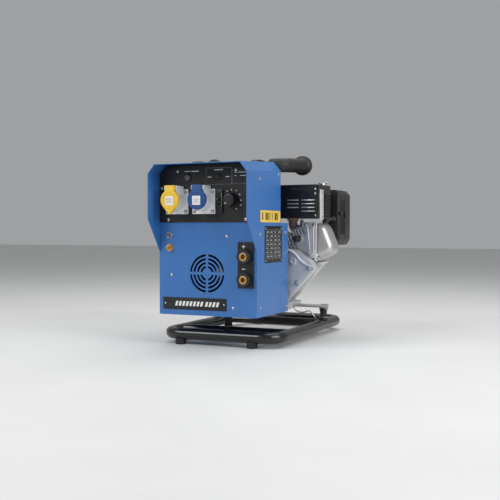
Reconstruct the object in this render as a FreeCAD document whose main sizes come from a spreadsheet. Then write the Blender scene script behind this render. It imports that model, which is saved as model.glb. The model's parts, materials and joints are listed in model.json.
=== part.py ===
import FreeCAD, Part
import math
import os
import Sketcher

# Engine driven welder: a sheet-metal canopy with the welding controls stands in front of a
# single-cylinder petrol engine, and both ride on rubber buffers over a bent tube base frame.
# Working axes: X to the right seen from the front, Y from the front panel towards the engine,
# Z up. Sub-parts are drawn from the crank axis (X), the front panel plane (Y) and the floor (Z),
# and each one's Placement carries it into the part's own frame.

doc = FreeCAD.newDocument("engine_driven_welder")
sheet = doc.addObject("Spreadsheet::Sheet", "Sizes")

SIZES = {
    # where the crank axis and the front panel lie in the part's own frame
    "shaft_x": -40.1, "panel_y": -269.0,
    # base frame
    "foot_rise": 13, "foot_radius": 15, "foot_span": 220, "tube_radius": 16, "tube_wall": 2,
    "loop_left": -160, "loop_right": 180, "loop_front": 52, "loop_back": 585, "loop_bend": 48,
    "cross_radius": 12.5, "front_cross_y": 143, "rear_rail_y": 434,
    "buffer_radius": 13, "rail_width": 40, "rail_thick": 6, "bolt_radius": 6.5, "bolt_head": 4,
    # canopy
    "canopy_width": 295, "canopy_floor": 88, "canopy_front_top": 497, "sheet_wall": 2,
    "roof_slope": 3.5, "roof_chamfer_x": 20, "roof_chamfer_z": 25, "wing_reach": 63,
    "wing_low": 350, "wing_root": 261, "upper_depth": 163, "lower_depth": 218, "step_height": 340,
    "panel_top": 490, "panel_corner_x": 19, "panel_corner_z": 18, "tray_thick": 3,
    "control_low": 341, "plate_thick": 3, "screw_radius": 4.2, "screw_head": 2.5,
    # fan grille
    "grille_radius": 52, "grille_spoke": 7, "grille_bar": 4.5, "grille_slot": 6,
    # appliance sockets with spring lids
    "yellow_x": -88, "blue_x": -6, "outlet_z": 397, "flange_width": 68, "flange_height": 67,
    "flange_thick": 5, "outlet_radius": 25.5, "outlet_depth": 37, "outlet_bore": 21.5,
    "carrier_bore": 20, "carrier_front": 6, "pin_hole": 2.6, "pin_circle": 11.5,
    "lid_radius": 26.5, "lid_thick": 9.7, "lid_rise": 4, "hinge_rise": 37, "hinge_pin": 2,
    "knuckle_radius": 6, "knuckle_width": 28, "lug_width": 5,
    # controls
    "breaker_x": 41, "breaker_width": 18, "breaker_height": 64, "toggle_radius": 7.5,
    "toggle_reach": 17, "toggle_thick": 6, "toggle_lean": 20,
    "knob_x": 76, "knob_z": 400, "knob_radius": 20, "knob_height": 22, "pot_shaft": 3,
    "selector_x": 37, "selector_z": 462, "selector_width": 18, "selector_height": 12,
    "selector_lean": 12, "idle_x": -56, "idle_z": 462, "idle_radius": 8.5, "idle_reach": 7,
    "reset_x": -117, "reset_z": 306, "reset_radius": 6.5, "earth_x": -115, "earth_z": 272,
    "earth_stud_radius": 4, "earth_washer": 10.5, "earth_nut_flat": 6.5, "slip": 0.3, "run_fit": 0.05,
    # weld output sockets
    "weld_x": 116, "weld_low_z": 189, "weld_pitch": 61, "weld_plate_width": 46,
    "weld_plate_height": 122, "weld_boss": 18.5, "weld_reach": 17, "weld_neck": 15,
    "weld_insert": 11, "weld_bore": 6.5, "weld_bore_depth": 33, "name_plate_length": 194,
    # carry handle
    "handle_y": 186, "handle_z": 503, "handle_half": 147, "handle_tube": 12.5, "handle_bend": 30,
    "arm_length": 166, "grip_lead": 12, "grip_radius": 20, "grip_flange": 29, "grip_end": 160,
    "clamp_x": 70, "clamp_width": 24,
    # engine and alternator
    "shaft_z": 203, "shaft_radius": 12.5, "stator_radius": 82, "stator_bore": 58,
    "stator_front": 118, "case_front": 235, "case_flank": 272, "case_flange": 303, "case_back": 395,
    "cylinder_y": 330, "cylinder_tilt": 22, "barrel_radius": 46, "piston_radius": 38.5,
    "crank_throw": 29, "web_radius": 48, "fin_half": 52, "head_low": 168, "head_high": 208,
    "head_half": 55, "cover_high": 258, "cover_half_y": 45, "foot_high": 12, "foot_half": 100,
    "foot_back": 452, "blower_radius": 125, "blower_back": 462, "blower_floor": 104,
    "recoil_radius": 92, "recoil_depth": 36, "flywheel_radius": 92, "fan_radius": 51,
    # muffler, air cleaner, fuel tank
    "guard_left": 105, "guard_right": 232, "guard_front": 236, "guard_back": 352,
    "guard_low": 354, "guard_high": 450, "cleaner_left": 190, "cleaner_right": 247,
    "cleaner_front": 386, "cleaner_back": 496, "cleaner_low": 275, "cleaner_high": 441,
    "pipe_x": 131, "pipe_radius": 13, "pipe_wall": 2,
    "tank_left": -140, "tank_right": 10, "tank_front": 235, "tank_back": 420, "tank_low": 345,
    "tank_high": 452, "tank_wall": 2, "filler_x": -65, "filler_radius": 20, "cap_radius": 28,
}

for row, (alias, amount) in enumerate(SIZES.items(), start=1):
    sheet.set("A%d" % row, alias)
    sheet.set("B%d" % row, str(amount))
    sheet.setAlias("B%d" % row, alias)
doc.recompute()


class Size:
    """A length or an angle: the sheet expression that gives it, and its value now."""

    def __init__(self, text, value):
        self.text = text
        self.value = float(value)

    def __add__(self, other):
        other = as_size(other)
        return Size("(%s + %s)" % (self.text, other.text), self.value + other.value)

    def __sub__(self, other):
        other = as_size(other)
        return Size("(%s - %s)" % (self.text, other.text), self.value - other.value)

    def __mul__(self, other):
        other = as_size(other)
        return Size("(%s * %s)" % (self.text, other.text), self.value * other.value)

    def __truediv__(self, other):
        other = as_size(other)
        return Size("(%s / %s)" % (self.text, other.text), self.value / other.value)

    def __neg__(self):
        return as_size(0) - self

    def __radd__(self, other):
        return as_size(other) + self

    def __rsub__(self, other):
        return as_size(other) - self

    def __rmul__(self, other):
        return as_size(other) * self


def as_size(number):
    if isinstance(number, Size):
        return number
    return Size("(%s)" % number, number)


def cosine(angle):
    return Size("cos(%s)" % angle.text, math.cos(math.radians(angle.value)))


def sine(angle):
    return Size("sin(%s)" % angle.text, math.sin(math.radians(angle.value)))


class Sizes:
    """The sheet's cells by name, as Size values."""


s = Sizes()
for alias in SIZES:
    setattr(s, alias, Size("Sizes." + alias, sheet.get(alias)))

nodes = []


def bind(item, name, size):
    size = as_size(size)
    item.setExpression(name, size.text)


def bind_point(item, point):
    for axis, size in zip("xyz", point):
        bind(item, "Placement.Base." + axis, size)


def node(item, label, at=(0, 0, 0), turn=None):
    """Name a finished sub-part and carry it into the part's own frame."""
    if item.TypeId in ("Part::Box", "Part::Cylinder", "Part::Cone", "Part::Extrusion"):
        item = group(label + "_piece", [item])
    if turn is not None:
        axis, angle = turn
        angle = as_size(angle)
        item.Placement = FreeCAD.Placement(FreeCAD.Vector(), FreeCAD.Rotation(axis, angle.value))
        bind(item, "Placement.Rotation.Angle", angle)
    x, y, z = at
    bind_point(item, (s.shaft_x + x, s.panel_y + y, as_size(0) + z))
    item.Label = label
    nodes.append(item)
    return item


# ---- plain solids and booleans -------------------------------------------------------------

AXIS_TURN = {
    "x": FreeCAD.Rotation(FreeCAD.Vector(0, 1, 0), 90),
    "y": FreeCAD.Rotation(FreeCAD.Vector(1, 0, 0), -90),
    "z": FreeCAD.Rotation(),
}


def box(name, low, span):
    item = doc.addObject("Part::Box", name)
    for name_of_side, size in zip(("Length", "Width", "Height"), span):
        bind(item, name_of_side, size)
    bind_point(item, low)
    return item


def rod(name, axis, start, radius, length):
    """Round bar that grows from start along the axis."""
    item = doc.addObject("Part::Cylinder", name)
    item.Placement = FreeCAD.Placement(FreeCAD.Vector(), AXIS_TURN[axis])
    bind(item, "Radius", radius)
    bind(item, "Height", length)
    bind_point(item, start)
    return item


def taper(name, axis, start, radius_low, radius_high, length):
    item = doc.addObject("Part::Cone", name)
    item.Placement = FreeCAD.Placement(FreeCAD.Vector(), AXIS_TURN[axis])
    bind(item, "Radius1", radius_low)
    bind(item, "Radius2", radius_high)
    bind(item, "Height", length)
    bind_point(item, start)
    return item


def group(name, items):
    item = doc.addObject("Part::Compound", name)
    item.Links = items
    return item


def fuse(name, items):
    item = doc.addObject("Part::MultiFuse", name)
    item.Shapes = items
    item.Refine = True
    return item


def common(name, items):
    item = doc.addObject("Part::MultiCommon", name)
    item.Shapes = items
    return item


def cut(name, base, tools):
    item = doc.addObject("Part::Cut", name)
    item.Base = base
    item.Tool = tools[0] if len(tools) == 1 else group(name + "_tools", tools)
    return item


# ---- sketches ------------------------------------------------------------------------------

PLANE_TURN = {
    "XY": FreeCAD.Rotation(),
    "XZ": FreeCAD.Rotation(FreeCAD.Vector(1, 0, 0), 90),
    "YZ": FreeCAD.Rotation(FreeCAD.Vector(1, 1, 1), 120),
}


def pin_point(sketch, geometry, corner, point):
    """Hold a sketch point at a distance from the sketch's origin along both its axes."""
    for kind, size in zip(("DistanceX", "DistanceY"), point):
        size = as_size(size)
        number = sketch.addConstraint(Sketcher.Constraint(kind, -1, 1, geometry, corner, size.value))
        sketch.setExpression("Constraints[%d]" % number, size.text)


def draw_outline(sketch, points):
    """Closed outline of straight lines through the given points."""
    first = sketch.GeometryCount
    spots = [FreeCAD.Vector(as_size(u).value, as_size(v).value, 0) for u, v in points]
    last = len(spots)
    for index in range(last):
        sketch.addGeometry(Part.LineSegment(spots[index], spots[(index + 1) % last]), False)
    for index in range(last):
        follower = first + (index + 1) % last
        sketch.addConstraint(Sketcher.Constraint("Coincident", first + index, 2, follower, 1))
        pin_point(sketch, first + index, 1, points[index])


def draw_circle(sketch, centre, radius):
    radius = as_size(radius)
    spot = FreeCAD.Vector(as_size(centre[0]).value, as_size(centre[1]).value, 0)
    circle = Part.Circle(spot, FreeCAD.Vector(0, 0, 1), radius.value)
    number = sketch.addGeometry(circle, False)
    pin_point(sketch, number, 3, centre)
    held = sketch.addConstraint(Sketcher.Constraint("Radius", number, radius.value))
    sketch.setExpression("Constraints[%d]" % held, radius.text)


def rectangle(left, right, low, high):
    return [(left, low), (right, low), (right, high), (left, high)]


def prism(name, plane, outline, low, length):
    """Straight extrusion of an outline from the level low along the plane's positive axis."""
    sketch = doc.addObject("Sketcher::SketchObject", name + "_sketch")
    sketch.Placement = FreeCAD.Placement(FreeCAD.Vector(), PLANE_TURN[plane])
    draw_outline(sketch, outline)
    along = {"XY": "z", "XZ": "y", "YZ": "x"}[plane]
    bind(sketch, "Placement.Base." + along, low)
    item = doc.addObject("Part::Extrusion", name)
    item.Base = sketch
    item.DirMode = "Normal"
    item.Solid = True
    item.Reversed = plane == "XZ"
    bind(item, "LengthFwd", length)
    return item


# ---- bodies made of sketched features --------------------------------------------------------

def new_body(name):
    return doc.addObject("PartDesign::Body", name)


def body_sketch(body, plane, level=0):
    """Sketch on one of the body's own origin planes, moved to a level along its positive axis."""
    sketch = body.newObject("Sketcher::SketchObject", body.Name + "_sketch")
    role = plane + "_Plane"
    support = next(item for item in body.Origin.OriginFeatures if item.Role == role)
    sketch.AttachmentSupport = (support, "")
    sketch.MapMode = "FlatFace"
    level = as_size(level)
    bind(sketch, "AttachmentOffset.Base.z", -level if plane == "XZ" else level)
    return sketch


def pad(body, sketch, length):
    item = body.newObject("PartDesign::Pad", body.Name + "_pad")
    item.Profile = sketch
    item.Reversed = sketch.AttachmentSupport[0][0].Role == "XZ_Plane"
    bind(item, "Length", length)
    body.Tip = item
    return item


def pocket_both_ways(body, sketch, length=None):
    """Cut through everything, or a length centred on the sketch."""
    item = body.newObject("PartDesign::Pocket", body.Name + "_pocket")
    item.Profile = sketch
    item.Midplane = True
    if length is None:
        item.Type = "ThroughAll"
    else:
        item.Type = "Length"
        bind(item, "Length", length)
    body.Tip = item
    return item


def round_edges(body, radius, wanted):
    """Fillet the edges of the body's last feature for which wanted(edge) is true."""
    doc.recompute()
    last = body.Tip
    names = ["Edge%d" % (n + 1) for n, edge in enumerate(last.Shape.Edges) if wanted(edge)]
    item = body.newObject("PartDesign::Fillet", body.Name + "_fillet")
    item.Base = (last, names)
    bind(item, "Radius", radius)
    body.Tip = item
    return item


def runs_along(axis):
    """True for straight edges parallel to the axis."""
    def test(edge):
        if edge.Curve.TypeId != "Part::GeomLine":
            return False
        return abs(abs(edge.Curve.Direction.dot(axis)) - 1) < 1e-6
    return test


ALONG_X = FreeCAD.Vector(1, 0, 0)
ALONG_Y = FreeCAD.Vector(0, 1, 0)
ALONG_Z = FreeCAD.Vector(0, 0, 1)


# ---- lines and levels that several sub-parts share -------------------------------------------

tube_z = s.foot_rise + s.tube_radius
cross_z = tube_z + s.tube_radius - s.cross_radius
inner_half = s.canopy_width / 2 - s.sheet_wall
floor_top = s.canopy_floor + s.tray_thick
face_y = -s.plate_thick


# ---- base frame ------------------------------------------------------------------------------

def draw_round_loop(sketch, left, right, front, back, bend):
    """Rounded rectangle that starts and ends in the middle of its front run."""
    middle = 0
    runs = [
        ((middle, front), (right - bend, front)),
        ((right, front + bend), (right, back - bend)),
        ((right - bend, back), (left + bend, back)),
        ((left, back - bend), (left, front + bend)),
        ((left + bend, front), (middle, front)),
    ]
    centres = [
        (right - bend, front + bend), (right - bend, back - bend),
        (left + bend, back - bend), (left + bend, front + bend),
    ]
    quarter = math.pi / 2
    for index, (start, end) in enumerate(runs):
        spots = [FreeCAD.Vector(as_size(u).value, as_size(v).value, 0) for u, v in (start, end)]
        line = sketch.addGeometry(Part.LineSegment(spots[0], spots[1]), False)
        if index > 0:
            sketch.addConstraint(Sketcher.Constraint("Coincident", line - 1, 2, line, 1))
        pin_point(sketch, line, 1, start)
        pin_point(sketch, line, 2, end)
        if index < len(centres):
            centre = FreeCAD.Vector(centres[index][0].value, centres[index][1].value, 0)
            circle = Part.Circle(centre, FreeCAD.Vector(0, 0, 1), bend.value)
            turn = (index - 1) * quarter
            arc = sketch.addGeometry(Part.ArcOfCircle(circle, turn, turn + quarter), False)
            sketch.addConstraint(Sketcher.Constraint("Coincident", line, 2, arc, 1))
            middle_u = centres[index][0]
            held = Sketcher.Constraint("DistanceX", -1, 1, arc, 3, middle_u.value)
            number = sketch.addConstraint(held)
            sketch.setExpression("Constraints[%d]" % number, middle_u.text)


def make_base_loop():
    body = new_body("base_loop")
    path = body_sketch(body, "XY", tube_z)
    draw_round_loop(path, s.loop_left, s.loop_right, s.loop_front, s.loop_back, s.loop_bend)
    section = body_sketch(body, "YZ")
    draw_circle(section, (s.loop_front, tube_z), s.tube_radius)
    draw_circle(section, (s.loop_front, tube_z), s.tube_radius - s.tube_wall)
    doc.recompute()
    pipe = body.newObject("PartDesign::AdditivePipe", "base_loop_pipe")
    pipe.Profile = section
    pipe.Spine = path
    body.Tip = pipe
    node(body, "base_loop")


def make_cross_tubes():
    tubes = []
    for name, along_y in (("front", s.front_cross_y), ("rear", s.rear_rail_y)):
        span = s.loop_right - s.loop_left
        start = (s.loop_left, along_y, cross_z)
        outer = rod(name + "_cross_outer", "x", start, s.cross_radius, span)
        inner = rod(name + "_cross_inner", "x", start, s.cross_radius - s.tube_wall, span)
        copes = []
        for side, at_x in (("left", s.loop_left), ("right", s.loop_right)):
            start = (at_x, along_y - 40, tube_z)
            copes.append(rod(name + "_cope_" + side, "y", start, s.tube_radius, 80))
        tubes.append(cut(name + "_cross_tube", outer, [inner] + copes))
    node(group("cross_tubes_pair", tubes), "cross_tubes")


def quarter_ring(name, centre, ring, tube, start_angle):
    """Quarter of a round bar bent about a vertical axis."""
    made = doc.addObject("Part::Torus", name)
    turn = FreeCAD.Rotation(ALONG_Z, start_angle)
    made.Placement = FreeCAD.Placement(FreeCAD.Vector(), turn)
    bind_point(made, centre)
    bind(made, "Radius1", ring)
    bind(made, "Radius2", tube)
    made.Angle3 = 90
    return made


def make_rubber_feet():
    feet = []
    bend = s.loop_bend
    rows = (("front", s.loop_front, s.loop_front + bend, (180, -90)),
            ("rear", s.loop_back, s.loop_back - bend, (90, 0)))
    for row, along_y, bend_y, turns in rows:
        for side, turn, bend_x in zip((-1, 1), turns, (s.loop_left + bend, s.loop_right - bend)):
            name = "foot_%s_%s" % (row, "left" if side < 0 else "right")
            at_x = s.foot_span / 2 * side
            pad_solid = rod(name, "z", (at_x, along_y, 0), s.foot_radius, s.foot_rise + 5)
            start = (s.loop_left + bend, along_y, tube_z)
            straight = s.loop_right - s.loop_left - bend * 2
            run = rod(name + "_run", "x", start, s.tube_radius, straight)
            corner = quarter_ring(name + "_bend", (bend_x, bend_y, tube_z), bend,
                                  s.tube_radius, turn)
            under_run = cut(name + "_under_run", pad_solid, [run])
            feet.append(cut(name + "_pad", under_run, [corner]))
    node(group("rubber_feet_set", feet), "rubber_feet")


def make_rubber_mounts():
    rail_low = s.canopy_floor - s.rail_thick
    front_length = s.canopy_floor - cross_z
    front = rod("front_buffer", "z", (-5, s.front_cross_y, cross_z), s.buffer_radius, front_length)
    start = (-45, s.front_cross_y, cross_z)
    saddle = rod("front_buffer_saddle", "x", start, s.cross_radius, 80)
    buffers = [cut("front_buffer_cut", front, [saddle])]
    for side, at_x in (("left", s.loop_left), ("right", s.loop_right)):
        start = (at_x, s.rear_rail_y, tube_z)
        post = rod("rear_buffer_" + side, "z", start, s.buffer_radius, rail_low - tube_z)
        start = (at_x, s.rear_rail_y - 40, tube_z)
        saddle = rod("rear_buffer_saddle_" + side, "y", start, s.tube_radius, 80)
        start = (at_x - 40, s.rear_rail_y, cross_z)
        cross = rod("rear_buffer_cross_" + side, "x", start, s.cross_radius, 80)
        buffers.append(cut("rear_buffer_cut_" + side, post, [saddle, cross]))
    node(group("rubber_mounts_set", buffers), "rubber_mounts")


def make_engine_rail():
    overhang = 10
    low = (s.loop_left - overhang, s.rear_rail_y - s.rail_width / 2, s.canopy_floor - s.rail_thick)
    span = (s.loop_right - s.loop_left + 2 * overhang, s.rail_width, s.rail_thick)
    node(box("engine_rail_bar", low, span), "engine_rail")
    bolts = []
    for side, at_x in (("left", s.loop_left), ("right", s.loop_right)):
        start = (at_x, s.rear_rail_y, s.canopy_floor)
        bolts.append(rod("rail_bolt_" + side, "z", start, s.bolt_radius, s.bolt_head))
    for side in (-1, 1):
        start = (s.foot_half * (0.8 * side), s.rear_rail_y, s.canopy_floor + s.foot_high)
        name = "foot_bolt_%d" % (side + 1)
        bolts.append(rod(name, "z", start, s.bolt_radius, s.bolt_head))
    node(group("rail_bolts_set", bolts), "rail_bolts")


# ---- canopy ----------------------------------------------------------------------------------

def roof_prism(name, inset):
    """Canopy cross section, inset all round, swept along the sloping roof."""
    half = s.canopy_width / 2 - inset
    top = s.canopy_front_top - inset
    shoulder = top - s.roof_chamfer_z + inset * 0.35
    ridge = half - s.roof_chamfer_x + inset * 0.35
    deep = -60
    outline = [(-half, deep), (half, deep), (half, shoulder), (ridge, top), (-ridge, top),
               (-half, shoulder)]
    sketch = doc.addObject("Sketcher::SketchObject", name + "_sketch")
    sketch.Placement = FreeCAD.Placement(FreeCAD.Vector(), PLANE_TURN["XZ"])
    draw_outline(sketch, outline)
    bind(sketch, "Placement.Base.y", -s.wing_reach)
    item = doc.addObject("Part::Extrusion", name)
    item.Base = sketch
    item.DirMode = "Custom"
    item.Solid = True
    bind(item, "Dir.x", 0)
    bind(item, "Dir.y", cosine(s.roof_slope))
    bind(item, "Dir.z", sine(s.roof_slope))
    bind(item, "LengthFwd", s.wing_reach + s.lower_depth + 60)
    return item


def make_hood():
    outer = roof_prism("hood_outer", as_size(0))
    inner = roof_prism("hood_inner", s.sheet_wall)
    shell = cut("hood_shell", outer, [inner])
    high = s.canopy_front_top + 200
    side_view = [
        (-s.wing_reach, s.wing_low), (0, s.wing_root), (0, s.canopy_floor),
        (s.lower_depth, s.canopy_floor), (s.lower_depth, s.step_height),
        (s.upper_depth, s.step_height), (s.upper_depth, high), (-s.wing_reach, high),
    ]
    side = prism("hood_side_view", "YZ", side_view, -s.canopy_width, s.canopy_width * 2)
    node(common("hood_folded", [shell, side]), "hood")


def panel_outline(low, high):
    corner_x = inner_half - s.panel_corner_x
    corner_z = high - s.panel_corner_z
    return [(-inner_half, low), (inner_half, low), (inner_half, corner_z), (corner_x, high),
            (-corner_x, high), (-inner_half, corner_z)]


def panel_openings(name, low_y, thick):
    """Openings that the control panel and the front panel share."""
    tools = []
    rear_radius = s.outlet_radius - 2 + s.slip
    for label, at_x in (("yellow", s.yellow_x), ("blue", s.blue_x)):
        start = (at_x, low_y, s.outlet_z)
        tools.append(rod(name + label, "y", start, rear_radius, thick))
    low = (s.breaker_x - s.breaker_width / 2 + 0.5, low_y, s.outlet_z - 23)
    tools.append(box(name + "_breaker", low, (s.breaker_width - 1, thick, 46)))
    start = (s.knob_x, low_y, s.knob_z)
    tools.append(rod(name + "_pot", "y", start, s.pot_shaft + 2, thick))
    width = s.selector_width + 3
    height = s.selector_height + 2 * s.slip
    low = (s.selector_x - width / 2, low_y, s.selector_z - height / 2)
    tools.append(box(name + "_selector", low, (width, thick, height)))
    start = (s.idle_x, low_y, s.idle_z)
    tools.append(rod(name + "_idle", "y", start, s.idle_radius + s.slip, thick))
    return tools


def grille_slots():
    """Rings of slots with four spokes left between them, centred on the crank axis."""
    low_y = -1
    thick = s.sheet_wall + 2
    rings = []
    for ring in range(4):
        outer = s.grille_radius - (s.grille_slot + s.grille_bar) * ring
        start = (0, low_y, s.shaft_z)
        disc = rod("grille_disc_%d" % ring, "y", start, outer, thick)
        core = rod("grille_core_%d" % ring, "y", start, outer - s.grille_slot, thick)
        rings.append(cut("grille_ring_%d" % ring, disc, [core]))
    half = s.grille_radius + 5
    upright_low = (-s.grille_spoke / 2, low_y, s.shaft_z - half)
    upright = box("grille_upright", upright_low, (s.grille_spoke, thick, half * 2))
    level_low = (-half, low_y, s.shaft_z - s.grille_spoke / 2)
    level = box("grille_level", level_low, (half * 2, thick, s.grille_spoke))
    return cut("grille_slots", group("grille_rings", rings), [fuse("grille_cross", [upright, level])])


def weld_socket_heights():
    return (("negative", s.weld_low_z), ("positive", s.weld_low_z + s.weld_pitch))


def make_front_panel():
    outline = panel_outline(s.canopy_floor, s.panel_top)
    blank = prism("front_panel_blank", "XZ", outline, 0, s.sheet_wall)
    tools = panel_openings("front_opening", -1, s.sheet_wall + 2)
    tools.append(grille_slots())
    for label, at_z in weld_socket_heights():
        start = (s.weld_x, -1, at_z)
        tools.append(rod("front_weld_" + label, "y", start, s.weld_neck, s.sheet_wall + 2))
    start = (s.reset_x, -1, s.reset_z)
    reset = rod("front_reset", "y", start, s.reset_radius + s.slip, s.sheet_wall + 2)
    start = (s.earth_x, -1, s.earth_z)
    earth = rod("front_earth", "y", start, s.earth_stud_radius, s.sheet_wall + 2)
    panel = cut("front_panel_cut", blank, tools)
    node(cut("front_panel_drilled", panel, [reset, earth]), "front_panel")


def make_control_panel():
    outline = panel_outline(s.control_low, s.panel_top - 2)
    blank = prism("control_panel_blank", "XZ", outline, face_y, s.plate_thick)
    tools = panel_openings("control_opening", face_y - 1, s.plate_thick + 2)
    node(cut("control_panel_cut", blank, tools), "control_panel")


def make_rear_bulkhead():
    wall = s.sheet_wall
    top = s.canopy_front_top + 4
    profile = [
        (s.lower_depth - wall, floor_top), (s.lower_depth, floor_top),
        (s.lower_depth, s.step_height), (s.upper_depth, s.step_height), (s.upper_depth, top),
        (s.upper_depth - wall, top), (s.upper_depth - wall, s.step_height - wall),
        (s.lower_depth - wall, s.step_height - wall),
    ]
    folded = prism("bulkhead_folded", "YZ", profile, -inner_half, inner_half * 2)
    fitted = common("bulkhead_fitted", [folded, roof_prism("bulkhead_limit", s.sheet_wall)])
    start = (0, s.lower_depth - 20, s.shaft_z)
    hole = rod("bulkhead_hole", "y", start, s.stator_radius + s.slip, 40)
    node(cut("bulkhead_cut", fitted, [hole]), "rear_bulkhead")


def make_bottom_tray():
    low = (-inner_half, s.sheet_wall, s.canopy_floor)
    span = (inner_half * 2, s.lower_depth - s.sheet_wall, s.tray_thick)
    node(box("bottom_tray_sheet", low, span), "bottom_tray")


def make_front_plates():
    thin = 1.5
    low = (-135, -thin, 103)
    node(box("name_plate_sheet", low, (s.name_plate_length, thin, 33)), "name_plate")
    low = (s.weld_x - s.weld_plate_width / 2, face_y, s.weld_low_z - 23)
    blank = box("weld_plate_blank", low, (s.weld_plate_width, s.plate_thick, s.weld_plate_height))
    holes = []
    for label, at_z in weld_socket_heights():
        start = (s.weld_x, face_y - 1, at_z)
        holes.append(rod("weld_plate_" + label, "y", start, s.weld_neck, s.plate_thick + 2))
    node(cut("weld_plate_cut", blank, holes), "weld_socket_plate")


def make_panel_screws():
    heads = []

    def head(axis, start):
        name = "screw_%d" % len(heads)
        heads.append(rod(name, axis, start, s.screw_radius, s.screw_head))

    for along_y, at_z in ((19, 456), (150, 474), (21, 309), (200, 313), (24, 113), (205, 103)):
        head("x", (s.canopy_width / 2, along_y, at_z))
        head("x", (-s.canopy_width / 2 - s.screw_head, along_y, at_z))
    for at_x, at_z in ((-88, 480), (88, 480), (-138, 435), (138, 435), (-117, 348), (117, 348)):
        head("y", (at_x, face_y - s.screw_head, at_z))
    for at_x, at_z in ((60, 303), (-109, 197), (78, 112)):
        head("y", (at_x, -s.screw_head, at_z))
    node(group("panel_screw_heads", heads), "panel_screws")


# ---- appliance sockets -----------------------------------------------------------------------

hinge_y = face_y - s.outlet_depth + 2
hinge_z = s.outlet_z + s.hinge_rise
rim_y = face_y - s.outlet_depth


def make_outlet(colour, at_x, tab_drop, tab_half):
    """One panel socket: grey housing, coloured contact carrier and hinged lid."""
    name = colour + "_socket"
    low = (at_x - s.flange_width / 2, face_y - s.flange_thick, s.outlet_z - s.flange_height / 2)
    flange = box(name + "_flange", low, (s.flange_width, s.flange_thick, s.flange_height))
    snout = rod(name + "_snout", "y", (at_x, rim_y, s.outlet_z), s.outlet_radius, s.outlet_depth)
    shank_radius = s.outlet_radius - 2
    shank = rod(name + "_shank", "y", (at_x, face_y - 1, s.outlet_z), shank_radius, 30)
    pieces = [flange, snout, shank]
    lug_gap = s.knuckle_width / 2 + s.slip
    for side in (-1, 1):
        lug_low = at_x + lug_gap if side > 0 else at_x - lug_gap - s.lug_width
        low = (lug_low, hinge_y - 5, s.outlet_z + 31)
        span = (s.lug_width, face_y - hinge_y + 5, s.hinge_rise - 31 + 5)
        pieces.append(box(name + "_lug_%d" % (side + 1), low, span))
        low = (lug_low, rim_y, s.outlet_z + 15)
        pieces.append(box(name + "_web_%d" % (side + 1), low, (s.lug_width, s.outlet_depth, 17)))
    solid = fuse(name + "_solid", pieces)
    ledge_y = face_y - s.carrier_front + 5
    recess = rod(name + "_recess", "y", (at_x, rim_y, s.outlet_z), s.outlet_bore, ledge_y - rim_y)
    through = rod(name + "_through", "y", (at_x, rim_y, s.outlet_z), s.carrier_bore, 80)
    pin_length = s.knuckle_width + 2 * s.slip + 2 * s.lug_width
    pin_start = (at_x - pin_length / 2, hinge_y, hinge_z)
    pin_hole = rod(name + "_pin_hole", "x", pin_start, s.hinge_pin, pin_length)
    node(cut(name + "_hollow", solid, [recess, through, pin_hole]), name + "_housing")

    carrier_y = ledge_y - 5
    disc = rod(name + "_disc", "y", (at_x, carrier_y, s.outlet_z), s.outlet_bore, 5)
    core = rod(name + "_core", "y", (at_x, carrier_y, s.outlet_z), s.carrier_bore, 28)
    contacts = []
    for step in range(3):
        bearing = math.radians(-90 + 120 * step)
        hole_x = at_x + s.pin_circle * math.cos(bearing)
        hole_z = s.outlet_z + s.pin_circle * math.sin(bearing)
        start = (hole_x, carrier_y, hole_z)
        contacts.append(rod(name + "_contact_%d" % step, "y", start, s.pin_hole, 18))
    carrier = fuse(name + "_carrier", [disc, core])
    node(cut(name + "_carrier_drilled", carrier, contacts), name + "_insert")

    lid_back = rim_y - s.slip
    lid_front = lid_back - s.lid_thick
    lid_z = s.outlet_z + s.lid_rise
    disc = rod(name + "_lid_disc", "y", (at_x, lid_front, lid_z), s.lid_radius, s.lid_thick)
    tab = prism(name + "_lid_tab", "XZ", [
        (at_x - tab_half, lid_z - s.lid_radius * 0.75), (at_x, lid_z - tab_drop),
        (at_x + tab_half, lid_z - s.lid_radius * 0.75)], lid_front, s.lid_thick)
    low = (at_x - s.knuckle_width / 2, lid_front, lid_z + 15)
    rise = hinge_z + s.knuckle_radius - lid_z - 15
    strap = box(name + "_lid_strap", low, (s.knuckle_width, s.lid_thick, rise))
    start = (at_x - s.knuckle_width / 2, hinge_y, hinge_z)
    knuckle = rod(name + "_lid_knuckle", "x", start, s.knuckle_radius, s.knuckle_width)
    body = fuse(name + "_lid_solid", [disc, tab, strap, knuckle])
    hollow_start = (at_x, lid_back - 5, lid_z)
    hollow = rod(name + "_lid_hollow", "y", hollow_start, s.outlet_bore - 1, 6)
    bore_radius = s.hinge_pin + s.run_fit
    bore = rod(name + "_lid_bore", "x", start, bore_radius, s.knuckle_width)
    node(cut(name + "_lid_hollowed", body, [hollow, bore]), name + "_lid")
    return rod(name + "_pin", "x", pin_start, s.hinge_pin, pin_length)


def make_outlets():
    pins = [make_outlet("yellow", s.yellow_x, as_size(39), 18),
            make_outlet("blue", s.blue_x, as_size(34), 13)]
    node(group("lid_hinge_pin_pair", pins), "lid_hinge_pins")


# ---- controls --------------------------------------------------------------------------------

def turned(points, pivot, angle):
    """Points of an outline turned about a pivot in the sketch plane."""
    result = []
    for u, v in points:
        du = as_size(u) - pivot[0]
        dv = as_size(v) - pivot[1]
        result.append((pivot[0] + du * cosine(angle) - dv * sine(angle),
                       pivot[1] + du * sine(angle) + dv * cosine(angle)))
    return result


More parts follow.
